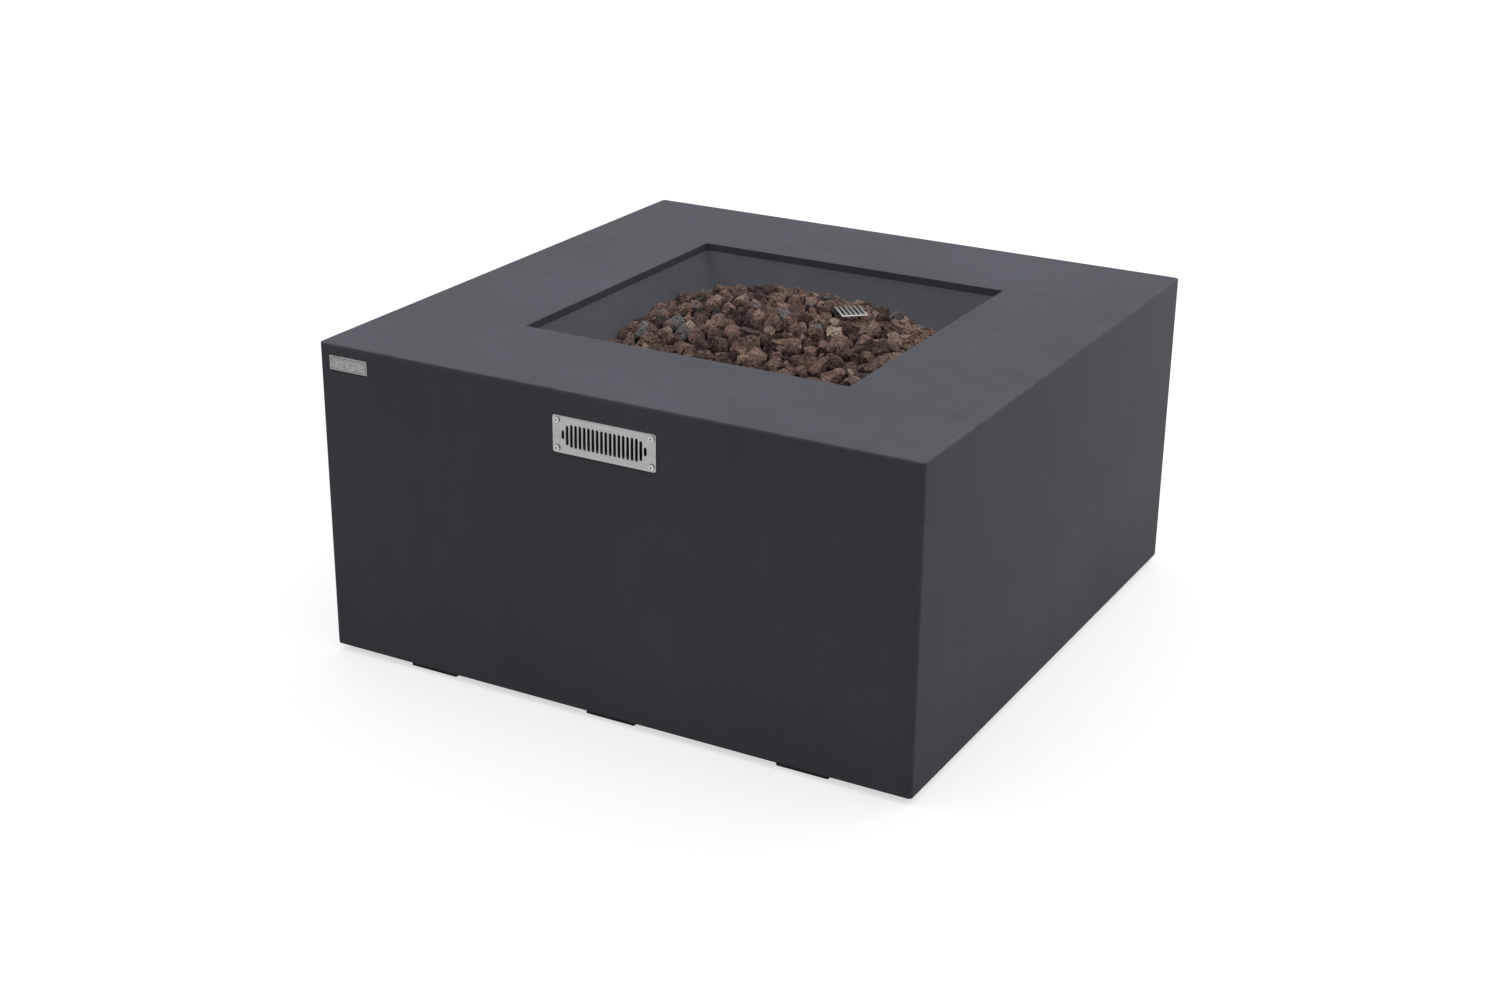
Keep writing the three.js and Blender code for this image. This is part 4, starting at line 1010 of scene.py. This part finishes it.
class FIRETABLE_OT_stage(bpy.types.Operator):
    """Sets the floor, the lights, the surroundings and the camera"""

    bl_idname = "firetable.stage"
    bl_label = "Stage"

    def execute(self, context):
        stage = context.scene.fire_table.stage
        self.floor(stage)
        overhead = bpy.data.lights.new("overhead_light", "SUN")
        overhead.angle = stage.overhead_width
        overhead.color = (0.97, 0.985, 1.03)
        self.light(overhead, stage.overhead, Vector((0, 0, 4)))
        softbox = bpy.data.lights.new("side_softbox", "AREA")
        softbox.size = stage.side_size
        softbox.color = (1.03, 1.0, 0.97)
        self.light(softbox, stage.side, Vector(stage.side_place), Vector((CENTRE_X + HALF, 0.1, 0.25)))
        self.surround(stage)
        self.camera(stage)
        context.scene.view_settings.view_transform = "Standard"
        return {"FINISHED"}

    @staticmethod
    def floor(stage):
        bm = bmesh.new()
        bmesh.ops.create_grid(bm, x_segments=1, y_segments=1, size=stage.floor_size / 2)
        floor = as_object("studio_floor", bm)
        f = Finish("floor_paint", specular_ior_level=0.1, emission_strength=0.62)
        speck = f.noise(30.0, 3.0).ramp(0.3, 0.7, 0.99, 1.0)
        white = f.shade(f.tint((0.5, 0.5, 0.5)), speck)
        floor.data.materials.append(f.done(base_color=white, roughness=0.8, emission_color=(1.0, 1.0, 1.0)))
        floor.visible_diffuse = False

    @staticmethod
    def light(lamp, strength, place, aim=Vector((0, 0, 0))):
        lamp.energy = strength
        obj = bpy.data.objects.new(lamp.name, lamp)
        obj.location = place
        obj.rotation_euler = (place - aim).to_track_quat("Z", "Y").to_euler()
        bpy.context.scene.collection.objects.link(obj)

    @staticmethod
    def surround(stage):
        """A white room behind the table, dimmer in reflections, that adds only a little soft light."""
        world = bpy.data.worlds.new("pale_room")
        world.use_nodes = True
        nodes, links = world.node_tree.nodes, world.node_tree.links
        background = nodes["Background"]
        background.inputs["Color"].default_value = (1.0, 1.0, 1.0, 1.0)
        path = nodes.new("ShaderNodeLightPath").outputs
        indirect = nodes.new("ShaderNodeMapRange")
        indirect.inputs["To Min"].default_value = stage.gloss
        indirect.inputs["To Max"].default_value = stage.surround
        strength = nodes.new("ShaderNodeMapRange")
        strength.inputs["To Max"].default_value = 1.0
        links.new(path["Is Diffuse Ray"], indirect.inputs["Value"])
        links.new(indirect.outputs[0], strength.inputs["To Min"])
        links.new(path["Is Camera Ray"], strength.inputs["Value"])
        links.new(strength.outputs[0], background.inputs["Strength"])
        bpy.context.scene.world = world

    @staticmethod
    def camera(stage):
        lens = bpy.data.cameras.new("camera")
        lens.sensor_width = 36.0
        lens.lens = stage.lens
        az, el, roll = stage.azimuth, stage.elevation, stage.roll
        back = Vector((math.sin(az) * math.cos(el), -math.cos(az) * math.cos(el), math.sin(el)))
        right = Vector((math.cos(az), math.sin(az), 0.0))
        up = back.cross(right)
        across = right * math.cos(roll) + up * math.sin(roll)
        upward = up * math.cos(roll) - right * math.sin(roll)
        camera = bpy.data.objects.new("camera", lens)
        turned = Matrix((across, upward, back)).transposed().to_4x4()
        camera.matrix_world = Matrix.Translation(stage.place) @ turned
        bpy.context.scene.collection.objects.link(camera)
        bpy.context.scene.camera = camera


class VIEW3D_PT_fire_table(bpy.types.Panel):
    """Lists the fire table's settings and pieces"""

    bl_idname = "VIEW3D_PT_fire_table"
    bl_label = "Fire Table"
    bl_space_type = "VIEW_3D"
    bl_region_type = "UI"
    bl_category = "Fire Table"

    def draw(self, context):
        settings = context.scene.fire_table
        for group in (settings.concrete, settings.rock, settings.metal, settings.stage):
            box = self.layout.box()
            for name in group.bl_rna.properties.keys():
                if name not in ("rna_type", "name"):
                    box.prop(group, name)
        for operator in OPERATORS:
            self.layout.operator(operator.bl_idname)


OPERATORS = (
    FIRETABLE_OT_stage, FIRETABLE_OT_concrete, FIRETABLE_OT_feet, FIRETABLE_OT_vents, FIRETABLE_OT_screws,
    FIRETABLE_OT_rock, FIRETABLE_OT_pilot, FIRETABLE_OT_burner, FIRETABLE_OT_gas_line, FIRETABLE_OT_controls,
)
GROUPS = (FireTableConcrete, FireTableRock, FireTableMetal, FireTableStage, FireTableSettings)


def register():
    for kind in (*GROUPS, *OPERATORS, VIEW3D_PT_fire_table):
        bpy.utils.register_class(kind)
    bpy.types.Scene.fire_table = PointerProperty(type=FireTableSettings)


def unregister():
    del bpy.types.Scene.fire_table
    for kind in reversed((*GROUPS, *OPERATORS, VIEW3D_PT_fire_table)):
        bpy.utils.unregister_class(kind)


def main():
    register()
    for operator in OPERATORS:
        _, name = operator.bl_idname.split(".")
        getattr(bpy.ops.firetable, name)()


if __name__ == "__main__":
    main()
